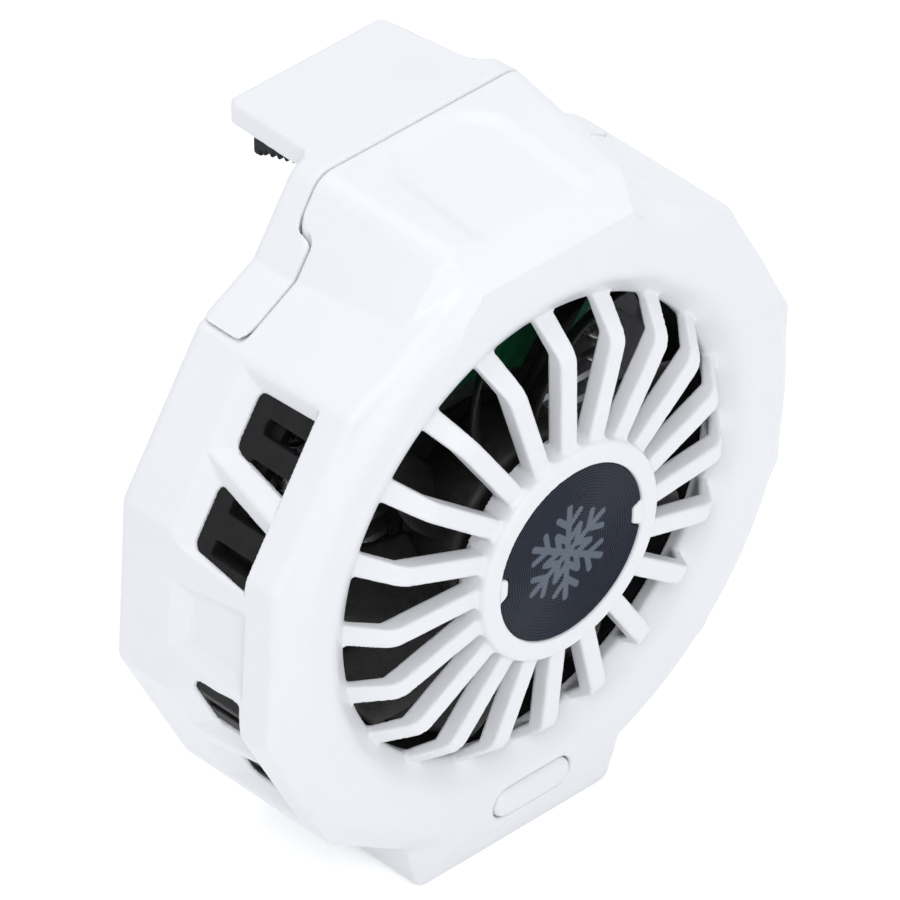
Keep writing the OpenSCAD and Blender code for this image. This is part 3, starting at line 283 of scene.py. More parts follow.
# Screw posts of both covers, and the housing's lugs and tabs at the front ones
BACK_POSTS = [(29.1, 5.0), (12.8, -28.37)]
FRONT_POSTS = [(18.839, 24.113), (18.839, -24.113)]
POST_R, POST_BORE, Z_POST = 2.1, 0.92, 8.8
LUG_BORE, Z_LUG, Z_LUG_FRONT = 1.05, 13, 15
TAB_X, TAB_Y, TAB_START = 0.6157, 0.788, 32.0           # direction of a front post, and where its tab starts
WEB_LOW, WEB_HIGH = (31.0, 4.1, Z_IN), (33.6, 5.9, Z_POST)

# Slots for the jaw's legs, the port, the guide rods' bosses and the rails of the port's board
LEG_SLOT_LOW, LEG_SLOT_HIGH = (19.4, 22, 3.0), (23.0, 29, 5.4)
PORT_Z, PORT_LENGTH, PORT_HEIGHT, PORT_TOP = 13.57, 9.24, 3.56, -34
BOSS_IN, BOSS_STEP, BOSS_OUT, BOSS_Y, BOSS_HALF = 19, 23.4, 25.9, 20.75, 1.25
Z_BOSS, Z_BOSS_STEP, Z_BOSS_FRONT, ROD_PLAY = 6.9, 8.4, 11.3, 0.02
RAIL_LOW, RAIL_HIGH, RAIL_THICK, RAIL_HEIGHTS = (7.5, -36), (12.2, -29), 1.4, (13.75, 16.25)
OVERLAP = 1     # how far shells are drawn past the cuts that trim them


def housing(x, y, z):
    ax = np.abs(x)
    outer = body(x, y, z)
    sunk = outer + SINK
    shell = np.maximum(smax(outer, -panel(x, y, z), k=0.4), -outer - WALL)
    shell = smax(shell, -vents(x, y, z), k=0.15)
    shell = np.maximum(shell, np.maximum(Z_IN - OVERLAP - z, z - Z_SPLIT - OVERLAP))
    shell = smax(shell, -room(x, y, z, JAW_GAP), k=0.3)
    shell = np.maximum(shell, -box(ax, y, z, LEG_SLOT_LOW, LEG_SLOT_HIGH))
    port = np.maximum(stadium(x, z - PORT_Z, PORT_LENGTH, PORT_HEIGHT), y - PORT_TOP)
    shell = smax(shell, -port, k=0.3)
    holder = np.minimum(z - Z_BOSS_STEP, np.maximum(ax - BOSS_STEP, z - Z_BOSS_FRONT))
    holder = np.maximum(holder, np.maximum(BOSS_IN - ax, Z_BOSS - z))
    bosses = np.maximum.reduce([holder, ax - BOSS_OUT, np.abs(np.abs(y) - BOSS_Y) - BOSS_HALF])
    bore = ROD_R + ROD_PLAY - np.hypot(ax - ROD_X, z - ROD_Z)
    bosses = np.maximum(np.maximum(bosses, sunk), bore)
    posts = each_place(x, y, BACK_POSTS,
                       lambda r: np.maximum.reduce([r - POST_R, Z_IN - z, z - Z_POST, POST_BORE - r]))
    webs = np.maximum(box(ax, y, z, WEB_LOW, WEB_HIGH), sunk)
    lugs = each_place(x, y, FRONT_POSTS,
                      lambda r: np.maximum.reduce([r - POST_R, Z_LUG - z, z - Z_LUG_FRONT, LUG_BORE - r]))
    u = ax * TAB_X + np.abs(y) * TAB_Y
    v = ax * TAB_Y - np.abs(y) * TAB_X
    tabs = np.maximum.reduce([TAB_START - u, np.abs(v) - POST_R, Z_LUG - z, z - Z_LUG_FRONT, sunk])
    rails = [np.maximum(box(ax, y, z, (*RAIL_LOW, height), (*RAIL_HIGH, height + RAIL_THICK)), sunk)
             for height in RAIL_HEIGHTS]
    return np.maximum(np.minimum.reduce([shell, bosses, posts, webs, lugs, tabs] + rails), ax - FLAT)


# Front cover: rim, round bezel, nose of the hump, chin, collar, hub ring and spokes
INSIDE = (0, 0, 0)
Z_BROW, NOSE_TOP, NOSE_HALF = 23.6, 33.3, 9.95
Z_CHIN, CHIN_TOP, CHIN_CORNER = 21.4, -33.3, (10.8, -32.7, Z_BROW)
RIDGE, RIDGE_FOOT = (HUMP_HALF, HUMP_TOP, Z_RIDGE), (HUMP_FOOT, facet_height(HUMP_FOOT), Z_RIDGE)
NOSE = plane_through(RIDGE, (0, HUMP_TOP, Z_RIDGE), (0, NOSE_TOP, Z_BROW), INSIDE)
NOSE_SIDE = plane_through(RIDGE, RIDGE_FOOT, (NOSE_HALF, NOSE_TOP, Z_BROW), INSIDE)
CHIN = plane_through((BLOCK_HALF, -BLOCK_DROP, Z_CHIN), (-BLOCK_HALF, -BLOCK_DROP, Z_CHIN),
                     (0, CHIN_TOP, Z_BROW), INSIDE)
CHIN_SIDE = plane_through((BLOCK_HALF + CHAMFER_WIDTH, CHAMFER_HEIGHT - BLOCK_DROP, Z_CHIN),
                          (BLOCK_SHOULDER, -SHOULDER_Y, Z_CHIN), CHIN_CORNER, INSIDE)
BEZEL_R, HOLLOW_R, Z_HOLLOW = 33.9, 31.8, 21.5
NOSE_BELOW, CHIN_BELOW, COLLAR = 0.1, 0.02, 1           # depths behind the face, collar's wall
BUTTON_ROOM_LOW, BUTTON_ROOM_HIGH = (-1, -34.2, 10), (11.0, -27.0, Z_HOLLOW)
COVER_BORE, Z_COVER_POST, Z_COVER_POST_FRONT = 0.95, 17.0, 22.0
SPOKES, SPOKE_HALF, SPOKE_FLARE, SPOKE_IN, SPOKE_OUT = 20, 1.05, 0.2, 10.6, 25.7
BEND_R, BEND_RUN, FLARE_END = 22.1, 3.5, 1.2
SPOKE_FRONT = [((11.0, 26.4), 11.1, 0.7), ((BEND_R, 25.7), BEND_RUN, 4.1)]     # start, run, drop
SPOKE_BEHIND = [((11.0, 24.3), 11.1, 0.7), ((BEND_R, 23.6), BEND_RUN, 3.4)]
HUB_R, Z_HUB_RING, HUB_STEP, Z_HUB_BACK, Z_HUB_FLOOR = 11.8, 27.35, 10.2, 23.7, 24.7
POCKET_R, Z_POCKET = 9.58, 26.1
KEY_IN, KEY_OUT, KEY_HALF, KEY_SLOPE, Z_KEY, Z_KEY_BACK = 8.4, 10.4, 0.95, 0.5, 27.2, 25.9


def beyond(plane, x, y, z):
    n, offset = plane
    return n[0] * x + n[1] * y + n[2] * z - offset


# Distance in front of a line that drops from a radius and height over a run
def slant(rho, z, start, run, drop):
    return ((rho - start[0]) * drop + (z - start[1]) * run) / math.hypot(run, drop)


def spokes(x, y, z):
    r, a = polar_fold(x, y, 2 * math.pi / SPOKES)
    rho, tau = r * np.cos(a), r * np.sin(a)
    inner, outer = [slant(rho, z, *line) for line in SPOKE_FRONT]
    behind_inner, behind_outer = [-slant(rho, z, *line) for line in SPOKE_BEHIND]
    half = SPOKE_HALF + SPOKE_FLARE * np.clip((rho - BEND_R) / BEND_RUN, 0, FLARE_END)
    bar = smax(smax(inner, outer, k=0.8), np.minimum(behind_inner, behind_outer), k=0.25)
    bar = smax(bar, np.abs(tau) - half, k=0.35)
    return np.maximum.reduce([bar, SPOKE_IN - rho, r - SPOKE_OUT])


def hub_ring(x, y, z):
    r = np.hypot(x, y)
    solid = hull([r - HUB_R, z - Z_HUB_RING], k=0.75)
    solid = np.maximum(solid, np.where(r > HUB_STEP, Z_HUB_BACK - z, Z_HUB_FLOOR - z))
    pocket = smax(solid, -np.maximum(r - POCKET_R, Z_POCKET - z), k=0.3)
    u = np.abs(x)
    flank = (np.abs(y) - KEY_HALF - KEY_SLOPE * (u - KEY_IN)) / math.hypot(1, KEY_SLOPE)
    key = hull([KEY_IN - u, flank, u - KEY_OUT, z - Z_KEY, Z_KEY_BACK - z], k=0.3)
    return np.minimum(pocket, key)


def cover(x, y, z):
    ax = np.abs(x)
    r = np.hypot(x, y)
    rim = smax(twelve(x, y), z - Z_RIM, k=1.0)
    bezel = smax(r - BEZEL_R, z - Z_FACE, k=2.4)
    shell = smin(rim, bezel, k=1.3)
    nose = hull([hump(x, y, z), beyond(NOSE, x, y, z), beyond(NOSE_SIDE, ax, y, z)], k=0.2)
    shell = smin(shell, np.maximum(nose, z - Z_FACE + NOSE_BELOW), k=0.5)
    chin = hull([block(x, y), beyond(CHIN, x, y, z), beyond(CHIN_SIDE, ax, y, z)], k=0.3)
    shell = smin(shell, np.maximum(chin, z - Z_FACE + CHIN_BELOW), k=0.5)
    run, rise = DISH_R - OPENING_R, Z_FACE - Z_DISH
    dish = ((r - DISH_R) * rise - (z - Z_FACE) * run) / math.hypot(run, rise)
    shell = smax(shell, -dish, k=0.8)
    shell = np.maximum(shell, Z_SPLIT - OVERLAP - z)
    shell = smax(shell, -panel(x, y, z), k=0.4)
    shell = np.maximum(shell, -np.maximum(r - HOLLOW_R, z - Z_HOLLOW))
    shell = np.maximum(shell, -box(ax, y, z, BUTTON_ROOM_LOW, BUTTON_ROOM_HIGH))
    collar = np.maximum.reduce([r - OPENING_R - COLLAR, Z_COLLAR - z, -dish])
    shell = smax(np.minimum(shell, collar), OPENING_R - r, k=0.3)
    hole = stadium(x, y - BUTTON_Y, BUTTON_LENGTH + BUTTON_GAP, BUTTON_HEIGHT + BUTTON_GAP)
    shell = smax(shell, -hole, k=0.35)
    grille = smin(hub_ring(x, y, z), spokes(x, y, z), k=0.5)
    shell = smin(shell, grille, k=0.4)
    return np.maximum(shell, ax - FLAT)


# Hollow screw posts behind the cover's rim
def cover_posts(x, y, z):
    return each_place(x, y, FRONT_POSTS, lambda r: hull([r - POST_R, COVER_BORE - r, Z_COVER_POST - z,
                                                         z - Z_COVER_POST_FRONT], k=0.2))


# Undoes the droop of the sliding arm, so that it can be drawn level
def level(y, z):
    c, s = math.cos(ARM_TILT), math.sin(ARM_TILT)
    v, w = y - ARM_TOP, z - Z_BACK
    return ARM_TOP + v * c - w * s, Z_BACK + v * s + w * c


def arm(x, y, z, middle):
    tip = ARM_REACH - ARM_CORNER
    half = ARM_HALF + (ARM_ROOT - ARM_HALF) * (z + tip) / (Z_IN + tip)
    a = np.abs(x) - half + ARM_CORNER
    b = -z - tip
    plan = np.hypot(np.maximum(a, 0), np.maximum(b, 0)) + np.minimum(np.maximum(a, b), 0) - ARM_CORNER
    return np.maximum(smax(plan, np.abs(y - middle) - ARM_THICK / 2, k=0.5), z - Z_ARM_ROOT)


# The jaw's legs, the lugs at their ends that slide on the rods, and the rear plate's window and screw holes
LEG_IN, LEG_OUT, LEG_TOP, LEG_THICK, Z_LEG, Z_FOOT = 19.6, 22.8, 26.5, 2.0, 3.2, 2.0
LUG_IN, LUG_OUT, LUG_LOW, LUG_HIGH, LUG_R, SLIDE_PLAY = 19.0, 23.4, -19.1, -15.1, 2.2, 0.06
WINDOW_HALF, WINDOW_CORNER, ARM_PROUD = 17.2, 2.2, 0.02
HEAD_R, Z_HEAD, SHANK_R = 1.85, 1.8, 1.05
DOME_ALONG, DOME_ACROSS, FLANGE = 0.004, 0.03, 1        # curve of the button's top, and its flange


def jaw(x, y, z):
    ax = np.abs(x)
    top = CAP_TOP + (z - CAP_Z) * math.tan(ARM_TILT)
    prism = smin(twelve(x, y), hump_form(x, y, np.minimum(top, CAP_TOP), CAP_FOOT), k=0.12)
    shell = smax(prism, Z_BACK - z, k=1.2)
    shell = np.maximum(shell, -np.maximum(prism + WALL, Z_IN - z))
    shell = smin(shell, arm(x, *level(y, z), ARM_TOP - ARM_THICK / 2), k=1.2)
    shell = np.maximum(shell, np.maximum((y - top) * math.cos(ARM_TILT), y - CAP_TOP))
    shell = smax(shell, room(x, y, z, 0.0), k=0.3)
    foot = box(ax, y, z, (LEG_IN, CHEEK_Y, Z_FOOT), (LEG_OUT, LEG_TOP, Z_LEG + LEG_THICK))
    leg = box(ax, y, z, (LEG_IN, LUG_LOW, Z_LEG), (LEG_OUT, LEG_TOP, Z_LEG + LEG_THICK))
    from_rod = np.hypot(ax - ROD_X, z - ROD_Z)
    lug = np.minimum(box(ax, y, z, (LUG_IN, LUG_LOW, Z_LEG), (LUG_OUT, LUG_HIGH, ROD_Z)),
                     np.maximum.reduce([from_rod - LUG_R, LUG_LOW - y, y - LUG_HIGH]))
    guide = np.maximum(smin(leg, lug, k=0.3), ROD_R + SLIDE_PLAY - from_rod)
    return np.maximum(np.minimum.reduce([shell, foot, guide]), ax - FLAT)


def back(x, y, z):
    prism = np.maximum(smin(twelve(x, y), block(x, y), k=0.9), -BLOCK_DROP - y)
    plate = smax(prism, Z_BACK - z, k=1.5)
    lower_arm = np.maximum(arm(x, y, z, -BLOCK_DROP + ARM_THICK / 2), prism - ARM_PROUD)
    plate = smin(plate, lower_arm, k=1.4)
    plate = np.maximum.reduce([plate, z - Z_IN - OVERLAP, -BLOCK_DROP - y, np.abs(x) - FLAT])
    plate = smax(plate, y - CHEEK_Y + JAW_GAP, k=0.4)
    plate = smax(plate, -round_box(x, y, WINDOW_HALF, WINDOW_HALF, WINDOW_CORNER), k=0.4)
    holes = each_place(x, y, BACK_POSTS,
                       lambda r: np.minimum(np.maximum(r - HEAD_R, z - Z_HEAD), r - SHANK_R))
    return smax(plate, -holes, k=0.2)


def button(x, y, z):
    v = y - BUTTON_Y
    pill = stadium(x, v, BUTTON_LENGTH, BUTTON_HEIGHT)
    dome = z - Z_BUTTON + DOME_ALONG * x * x + DOME_ACROSS * v * v
    cap = np.maximum(smax(pill, dome, k=0.9), Z_BUTTON_BACK - z)
    wide = stadium(x, v, BUTTON_LENGTH + FLANGE, BUTTON_HEIGHT + FLANGE)
    flange = smax(np.maximum(wide, z - Z_FLANGE), Z_BUTTON_BACK - z, k=0.1)
    return np.minimum(cap, flange)


def new_mesh(name, verts, faces):
    mesh = bpy.data.meshes.new(name)
    world = np.column_stack([verts[:, 0], -verts[:, 2], verts[:, 1]]) * MM
    mesh.from_pydata(world.tolist(), [], faces if isinstance(faces, list) else faces.tolist())
    mesh.polygons.foreach_set("use_smooth", np.ones(len(mesh.polygons), bool))
    mesh.update()
    obj = bpy.data.objects.new(name, mesh)
    scene.collection.objects.link(obj)
    return obj


def gradient(f, p, e=0.03):
    x, y, z = p.T
    return np.column_stack([f(x + e, y, z) - f(x - e, y, z), f(x, y + e, z) - f(x, y - e, z),
                            f(x, y, z + e) - f(x, y, z - e)]) / (2 * e)


# Joins near points and drops slivers, where a distance in metres is given, and turns faces outwards
def clean(obj, join=None, sliver=None):
    b = bmesh.new()
    b.from_mesh(obj.data)
    if join:
        bmesh.ops.remove_doubles(b, verts=b.verts, dist=join)
    if sliver:
        bmesh.ops.dissolve_degenerate(b, dist=sliver, edges=b.edges)
    bmesh.ops.recalc_face_normals(b, faces=b.faces)
    b.to_mesh(obj.data)
    b.free()


# Cuts a closed mesh at heights along z, keeps what lies between them, and closes the cuts with flat faces
def trim(obj, low, high):
    b = bmesh.new()
    b.from_mesh(obj.data)
    for height, side in ((low, 1), (high, -1)):
        if height is None:
            continue
        cut = bmesh.ops.bisect_plane(b, geom=b.verts[:] + b.edges[:] + b.faces[:], dist=1e-7,
                                     plane_co=(0, -height * MM, 0), plane_no=(0, side, 0), clear_outer=True)
        rim = [e for e in cut["geom_cut"] if isinstance(e, bmesh.types.BMEdge) and e.is_boundary]
        bmesh.ops.triangle_fill(b, use_beauty=True, edges=rim, normal=(0, side, 0))
    bmesh.ops.recalc_face_normals(b, faces=b.faces)
    b.to_mesh(obj.data)
    b.free()


# Normals straight from the field, so that rounded edges and flat faces shade cleanly
def shade(obj, f, flat_heights):
    probe, turned_away, square, close = 0.06, 0.5, 0.999, 1e-4
    mesh = obj.data
    mesh.polygons.foreach_set("use_smooth", np.ones(len(mesh.polygons), bool))
    co = np.empty(len(mesh.vertices) * 3)
    mesh.vertices.foreach_get("co", co)
    co = co.reshape(-1, 3) / MM
    g = gradient(f, np.column_stack([co[:, 0], co[:, 2], -co[:, 1]]), probe)
    g /= np.maximum(np.linalg.norm(g, axis=1), 1e-9)[:, None]
    g = np.column_stack([g[:, 0], -g[:, 2], g[:, 1]])
    corner = np.empty(len(mesh.loops), np.int32)
    mesh.loops.foreach_get("vertex_index", corner)
    normals = g[corner]
    owner = np.repeat(np.arange(len(mesh.polygons)), [p.loop_total for p in mesh.polygons])
    face = np.empty(len(mesh.polygons) * 3)
    mesh.polygons.foreach_get("normal", face)
    face = face.reshape(-1, 3)[owner]
    flat = (normals * face).sum(1) < turned_away
    for height in flat_heights:
        flat |= (np.abs(co[corner, 1] + height) < close) & (np.abs(face[:, 1]) > square)
    normals[flat] = face[flat]
    mesh.normals_split_custom_set(normals.tolist())


# Turns a distance field into a closed mesh of quads whose points lie on the surface
def surface(name, f, low, high, step, cut_low=None, cut_high=None):
    slab, passes, least_slope, longest_move = 16, 3, 0.3, 0.3
    low = np.array(low, float)
    n = np.ceil((np.array(high) - low) / step).astype(int) + 1
    axes = [low[i] + step * np.arange(n[i]) for i in range(3)]
    v = np.empty(n, np.float32)
    for i in range(0, n[0], slab):
        v[i:i + slab] = f(*np.meshgrid(axes[0][i:i + slab], axes[1], axes[2], indexing="ij"))
    inside = v < 0
    count = np.zeros(n - 1, np.int8)
    corners = [(a, b, c) for a in (0, 1) for b in (0, 1) for c in (0, 1)]
    for a, b, c in corners:
        count += inside[a:n[0] - 1 + a, b:n[1] - 1 + b, c:n[2] - 1 + c]
    active = (count > 0) & (count < 8)
    index = np.full(n - 1, -1, np.int64)
    cells = np.argwhere(active)
    index[active] = np.arange(len(cells))
    total, hits = np.zeros((len(cells), 3)), np.zeros(len(cells))
    for axis in range(3):
        unit = np.eye(3, dtype=int)[axis]
        for corner in corners:
            if corner[axis]:
                continue
            a = cells + np.array(corner)
            b = a + unit
            va, vb = v[tuple(a.T)], v[tuple(b.T)]
            cross = (va < 0) != (vb < 0)
            p = a[cross].astype(float)
            p[:, axis] += va[cross] / (va[cross] - vb[cross])
            total[cross] += p
            hits[cross] += 1
    points = low + step * total / hits[:, None]
    faces = []
    for axis in range(3):
        o1, o2 = (axis + 1) % 3, (axis + 2) % 3
        unit, e1, e2 = np.eye(3, dtype=int)[[axis, o1, o2]]
        lower = inside[tuple(slice(0, m - 1) if i == axis else slice(0, m) for i, m in enumerate(n))]
        upper = inside[tuple(slice(1, m) if i == axis else slice(0, m) for i, m in enumerate(n))]
        at = np.argwhere(lower != upper)
        at = at[(at[:, o1] > 0) & (at[:, o2] > 0) & (at[:, o1] < n[o1] - 1) & (at[:, o2] < n[o2] - 1)]
        quad = np.column_stack([index[tuple((at + s).T)] for s in (-e1 - e2, -e2, 0 * unit, -e1)])
        outwards = lower[tuple(at.T)]
        faces.append(np.where(outwards[:, None], quad, quad[:, ::-1]))
    for _ in range(passes):
        g = gradient(f, points)
        move = g * (f(*points.T) / np.maximum((g * g).sum(1), least_slope))[:, None]
        size = np.linalg.norm(move, axis=1)
        points = points - move * np.minimum(1, longest_move * step / np.maximum(size, 1e-9))[:, None]
    obj = new_mesh(name, points, np.concatenate(faces))
    cuts = [c for c in (cut_low, cut_high) if c is not None]
    if cuts:
        trim(obj, cut_low, cut_high)
    shade(obj, f, cuts)
    return obj


# Materials
def material(name, colour, roughness, vary=0.02, scale=400.0, bump=0.0, bump_scale=3000.0, metallic=0.0,
             specular=0.5):
    rough_spread, least_rough, bump_height = 0.05, 0.02, 0.0001
    m = bpy.data.materials.new(name)
    m.use_nodes = True
    tree = m.node_tree
    shader = tree.nodes["Principled BSDF"]
    place = tree.nodes.new("ShaderNodeTexCoord")
    noise = tree.nodes.new("ShaderNodeTexNoise")
    noise.inputs["Scale"].default_value = scale
    noise.inputs["Detail"].default_value = 3
    tree.links.new(place.outputs["Object"], noise.inputs["Vector"])
    ramp = tree.nodes.new("ShaderNodeValToRGB")
    ramp.color_ramp.elements[0].position = 0.3
    ramp.color_ramp.elements[1].position = 0.7
    ramp.color_ramp.elements[0].color = [max(0, c * (1 - vary)) for c in colour] + [1]
    ramp.color_ramp.elements[1].color = [min(1, c * (1 + vary)) for c in colour] + [1]
    tree.links.new(noise.outputs["Fac"], ramp.inputs["Fac"])
    tree.links.new(ramp.outputs["Color"], shader.inputs["Base Color"])
    rough = tree.nodes.new("ShaderNodeMapRange")
    rough.inputs["To Min"].default_value = max(least_rough, roughness - rough_spread)
    rough.inputs["To Max"].default_value = min(1, roughness + rough_spread)
    tree.links.new(noise.outputs["Fac"], rough.inputs["Value"])
    tree.links.new(rough.outputs["Result"], shader.inputs["Roughness"])
    shader.inputs["Metallic"].default_value = metallic
    shader.inputs["Specular IOR Level"].default_value = specular
    if bump:
        grain = tree.nodes.new("ShaderNodeTexNoise")
        grain.inputs["Scale"].default_value = bump_scale
        grain.inputs["Detail"].default_value = 2
        tree.links.new(place.outputs["Object"], grain.inputs["Vector"])
        node = tree.nodes.new("ShaderNodeBump")
        node.inputs["Strength"].default_value = bump
        node.inputs["Distance"].default_value = bump_height
        tree.links.new(grain.outputs["Fac"], node.inputs["Height"])
        tree.links.new(node.outputs["Normal"], shader.inputs["Normal"])
    return m


WHITE = material("white_abs", (0.836, 0.843, 0.868), 0.36, vary=0.008, scale=120, bump=0.03, bump_scale=2500,
                 specular=0.36)
BLACK = material("black_plastic", (0.012, 0.012, 0.013), 0.55, vary=0.2, scale=500, bump=0.25,
                 bump_scale=4000, specular=0.15)
GRAIN = material("grained_black", (0.02, 0.018, 0.018), 0.45, vary=0.3, scale=900, bump=0.8, bump_scale=6000)
RUBBER = material("black_rubber", (0.013, 0.014, 0.017), 0.6, vary=0.2, scale=700, bump=0.3, bump_scale=5000,
                  specular=0.2)
STEEL = material("steel", (0.55, 0.55, 0.56), 0.28, vary=0.05, scale=900, bump=0.1, metallic=1.0)
IRON = material("stator_iron", (0.2, 0.2, 0.21), 0.45, vary=0.1, scale=1500, bump=0.2, metallic=1.0)
ALUMINIUM = material("aluminium", (0.72, 0.73, 0.75), 0.35, vary=0.04, scale=700, bump=0.15, metallic=1.0)
COPPER = material("copper_wire", (0.72, 0.33, 0.16), 0.35, vary=0.15, scale=2500, bump=0.5, metallic=1.0)
BRONZE = material("bronze", (0.55, 0.34, 0.14), 0.35, vary=0.08, scale=900, bump=0.1, metallic=1.0)
CERAMIC = material("ceramic", (0.82, 0.82, 0.8), 0.55, vary=0.03, scale=1200, bump=0.1)
PELLET = material("pellet", (0.1, 0.1, 0.11), 0.4, vary=0.15, scale=1500, metallic=0.6)
BOARD = material("board", (0.01, 0.1, 0.045), 0.4, vary=0.25, scale=900, bump=0.15)
HEAT_PAD = material("heat_pad", (0.12, 0.14, 0.16), 0.75, vary=0.12, scale=800, bump=0.3)
RED = material("red_plastic", (0.45, 0.05, 0.03), 0.45, vary=0.1, scale=800)


def finish_piece(obj, body_name, slot, mat, *replaced):
    obj.data.materials.append(mat)
    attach(obj, body_name)
    if replaced:
        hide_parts(*replaced)


# Shells, each meshed between two corners of space with a step of its own
HOUSING_STEP, COVER_STEP, JAW_STEP, BUTTON_STEP, PAD_STEP = 0.28, 0.3, 0.32, 0.16, 0.17
finish_piece(surface("housing_shell", housing, (-36.2, -38.4, 1.2), (36.2, 40.0, 20.0), HOUSING_STEP,
                     Z_IN, Z_SPLIT),
             "housing", "shell", WHITE, "main_housing")
finish_piece(surface("liner_face", liner_face, (-35.0, -26.0, 8.2), (35.0, 26.0, 18.6), COVER_STEP),
             "housing", "black_plastic", BLACK)
finish_piece(surface("cover_shell", cover, (-36.2, -38.4, 16.8), (36.2, 38.0, 28.2), COVER_STEP,
                     Z_SPLIT, None),
             "housing", "shell", WHITE, "front_cover")
finish_piece(surface("cover_posts", cover_posts, (-21.4, -26.8, 16.2), (21.4, 26.8, 22.4), COVER_STEP),
             "housing", "shell", WHITE)
finish_piece(surface("jaw_shell", jaw, (-34.0, -20.0, -12.0), (34.0, 39.6, 12.2), JAW_STEP),
             "jaw", "shell", WHITE, "sliding_jaw")
finish_piece(surface("back_shell", back, (-36.2, -38.4, -12.0), (36.2, 26.4, 4.4), JAW_STEP, None, Z_IN),
             "housing", "shell", WHITE, "back_cover")
finish_piece(surface("button_cap", button, (-6.2, -33.6, 20.2), (6.2, -27.6, 24.8), BUTTON_STEP),
             "button", "shell", WHITE, "power_button")


# Black hub disc: turned grooves as real rings, two key notches, and a grey six-armed figure
FIGURE_X, FIGURE_Y, FIGURE_EDGE, FIGURE_DEPTH = -0.42, 0.15, 0.08, 0.2
FIGURE_BARS = [(0, 0, 5.3, 0, 0.37), (3.1, 0, 4.45, 1.45, 0.35), (1.3, 0, 2.62, 1.51, 0.37)]
DISC_SEGMENTS, DISC_MIDDLE, DISC_THICK = 420, 0.001, 1.0
GROOVES, GROOVE_PITCH, GROOVE_START = 28, 0.33, 0.12
GROOVE = [(0.0, 0.0), (0.13, 0.0), (0.2, 0.05), (0.27, 0.05)]                   # radius and drop
DISC_RIM = [(9.38, 0.0), (9.47, 0.03), (9.5, 0.1)]
NOTCH_R, NOTCH_HALF, NOTCH_SLOPE, NOTCH_DROP, NO_LIMIT = 8.32, 1.03, 0.5, 0.1, 99.0
NOTCH_EDGE, NOTCH_WALL = math.radians(9.8), 0.0006


def flake(x, y):
    x, y = x - FIGURE_X, y - FIGURE_Y
    r = np.hypot(x, y)
    a = np.abs(np.mod(np.arctan2(y, x), math.pi / 3) - math.pi / 6)
    p, q = r * np.cos(a), r * np.sin(a)

    def bar(p0, q0, p1, q1, half):
        dp, dq = p1 - p0, q1 - q0
        t = np.clip(((p - p0) * dp + (q - q0) * dq) / (dp * dp + dq * dq), 0, 1)
        return np.hypot(p - p0 - t * dp, q - q0 - t * dq) - half

    return np.minimum.reduce([bar(*ends) for ends in FIGURE_BARS])


def hub_disc():
    angles = [2 * math.pi * i / DISC_SEGMENTS for i in range(DISC_SEGMENTS)]
    angles += [turn + side * (NOTCH_EDGE + d) for turn in (0, math.pi) for side in (-1, 1)
               for d in (-NOTCH_WALL, NOTCH_WALL)]
    angles = np.sort(np.mod(np.array(angles), 2 * math.pi))
    off = np.abs(np.mod(angles + math.pi / 2, math.pi) - math.pi / 2)
    flat = NOTCH_R / np.cos(off)
    flank = (NOTCH_SLOPE * NOTCH_R - NOTCH_HALF) / np.maximum(NOTCH_SLOPE * np.cos(off) - np.sin(off), 0.01)
    limit = np.where(off < NOTCH_EDGE, np.maximum(flat, flank), NO_LIMIT)
    profile = [(DISC_MIDDLE, 0.0)]
    for i in range(GROOVES):
        profile += [(GROOVE_START + i * GROOVE_PITCH + part, drop) for part, drop in GROOVE]
    rows = []
    for r, drop in profile + DISC_RIM:
        clipped = np.minimum(r, limit)
        z = Z_HUB - np.where(r > limit, NOTCH_DROP, drop)
        rows.append(np.column_stack([clipped * np.cos(angles), clipped * np.sin(angles), z]))
    last = rows[-1].copy()
    last[:, 2] = Z_HUB - DISC_THICK
    rows.append(last)
    m = len(angles)
    verts = np.concatenate(rows + [np.array([[0, 0, Z_HUB - DISC_THICK]])])
    faces = [((i + 1) * m + j, (i + 1) * m + (j + 1) % m, i * m + (j + 1) % m, i * m + j)
             for i in range(len(rows) - 1) for j in range(m)]
    faces.append(tuple(range(m)))
    bottom = (len(rows) - 1) * m
    faces += [(bottom + (j + 1) % m, bottom + j, len(verts) - 1) for j in range(m)]
    obj = new_mesh("turned_disc", verts, faces)
    clean(obj, join=2e-6, sliver=1e-7)
    co = np.empty(len(obj.data.vertices) * 3)
    obj.data.vertices.foreach_get("co", co)
    co = co.reshape(-1, 3) / MM
    on_top = -co[:, 1] > Z_HUB - FIGURE_DEPTH
    mask = np.clip(0.5 - flake(co[:, 0], co[:, 2]) / FIGURE_EDGE, 0, 1) * on_top
    layer = obj.data.attributes.new("figure", "FLOAT", "POINT")
    layer.data.foreach_set("value", mask.astype(np.float32))
    return obj


def turned_material():
    m = material("turned_black", (0.0095, 0.0135, 0.025), 0.42, vary=0.12, scale=900, bump=0.1,
                 bump_scale=6000, specular=0.11)
    tree = m.node_tree
    figure = tree.nodes.new("ShaderNodeAttribute")
    figure.attribute_name = "figure"
    mix = tree.nodes.new("ShaderNodeMix")
    mix.data_type = "RGBA"
    ramp = next(n for n in tree.nodes if n.bl_idname == "ShaderNodeValToRGB")
    tree.links.new(figure.outputs["Fac"], mix.inputs["Factor"])
    tree.links.new(ramp.outputs["Color"], mix.inputs["A"])
    mix.inputs["B"].default_value = (0.115, 0.14, 0.175, 1)
    tree.links.new(mix.outputs["Result"], tree.nodes["Principled BSDF"].inputs["Base Color"])
    return m


finish_piece(hub_disc(), "housing", "disc", turned_material(), "hub_disc")


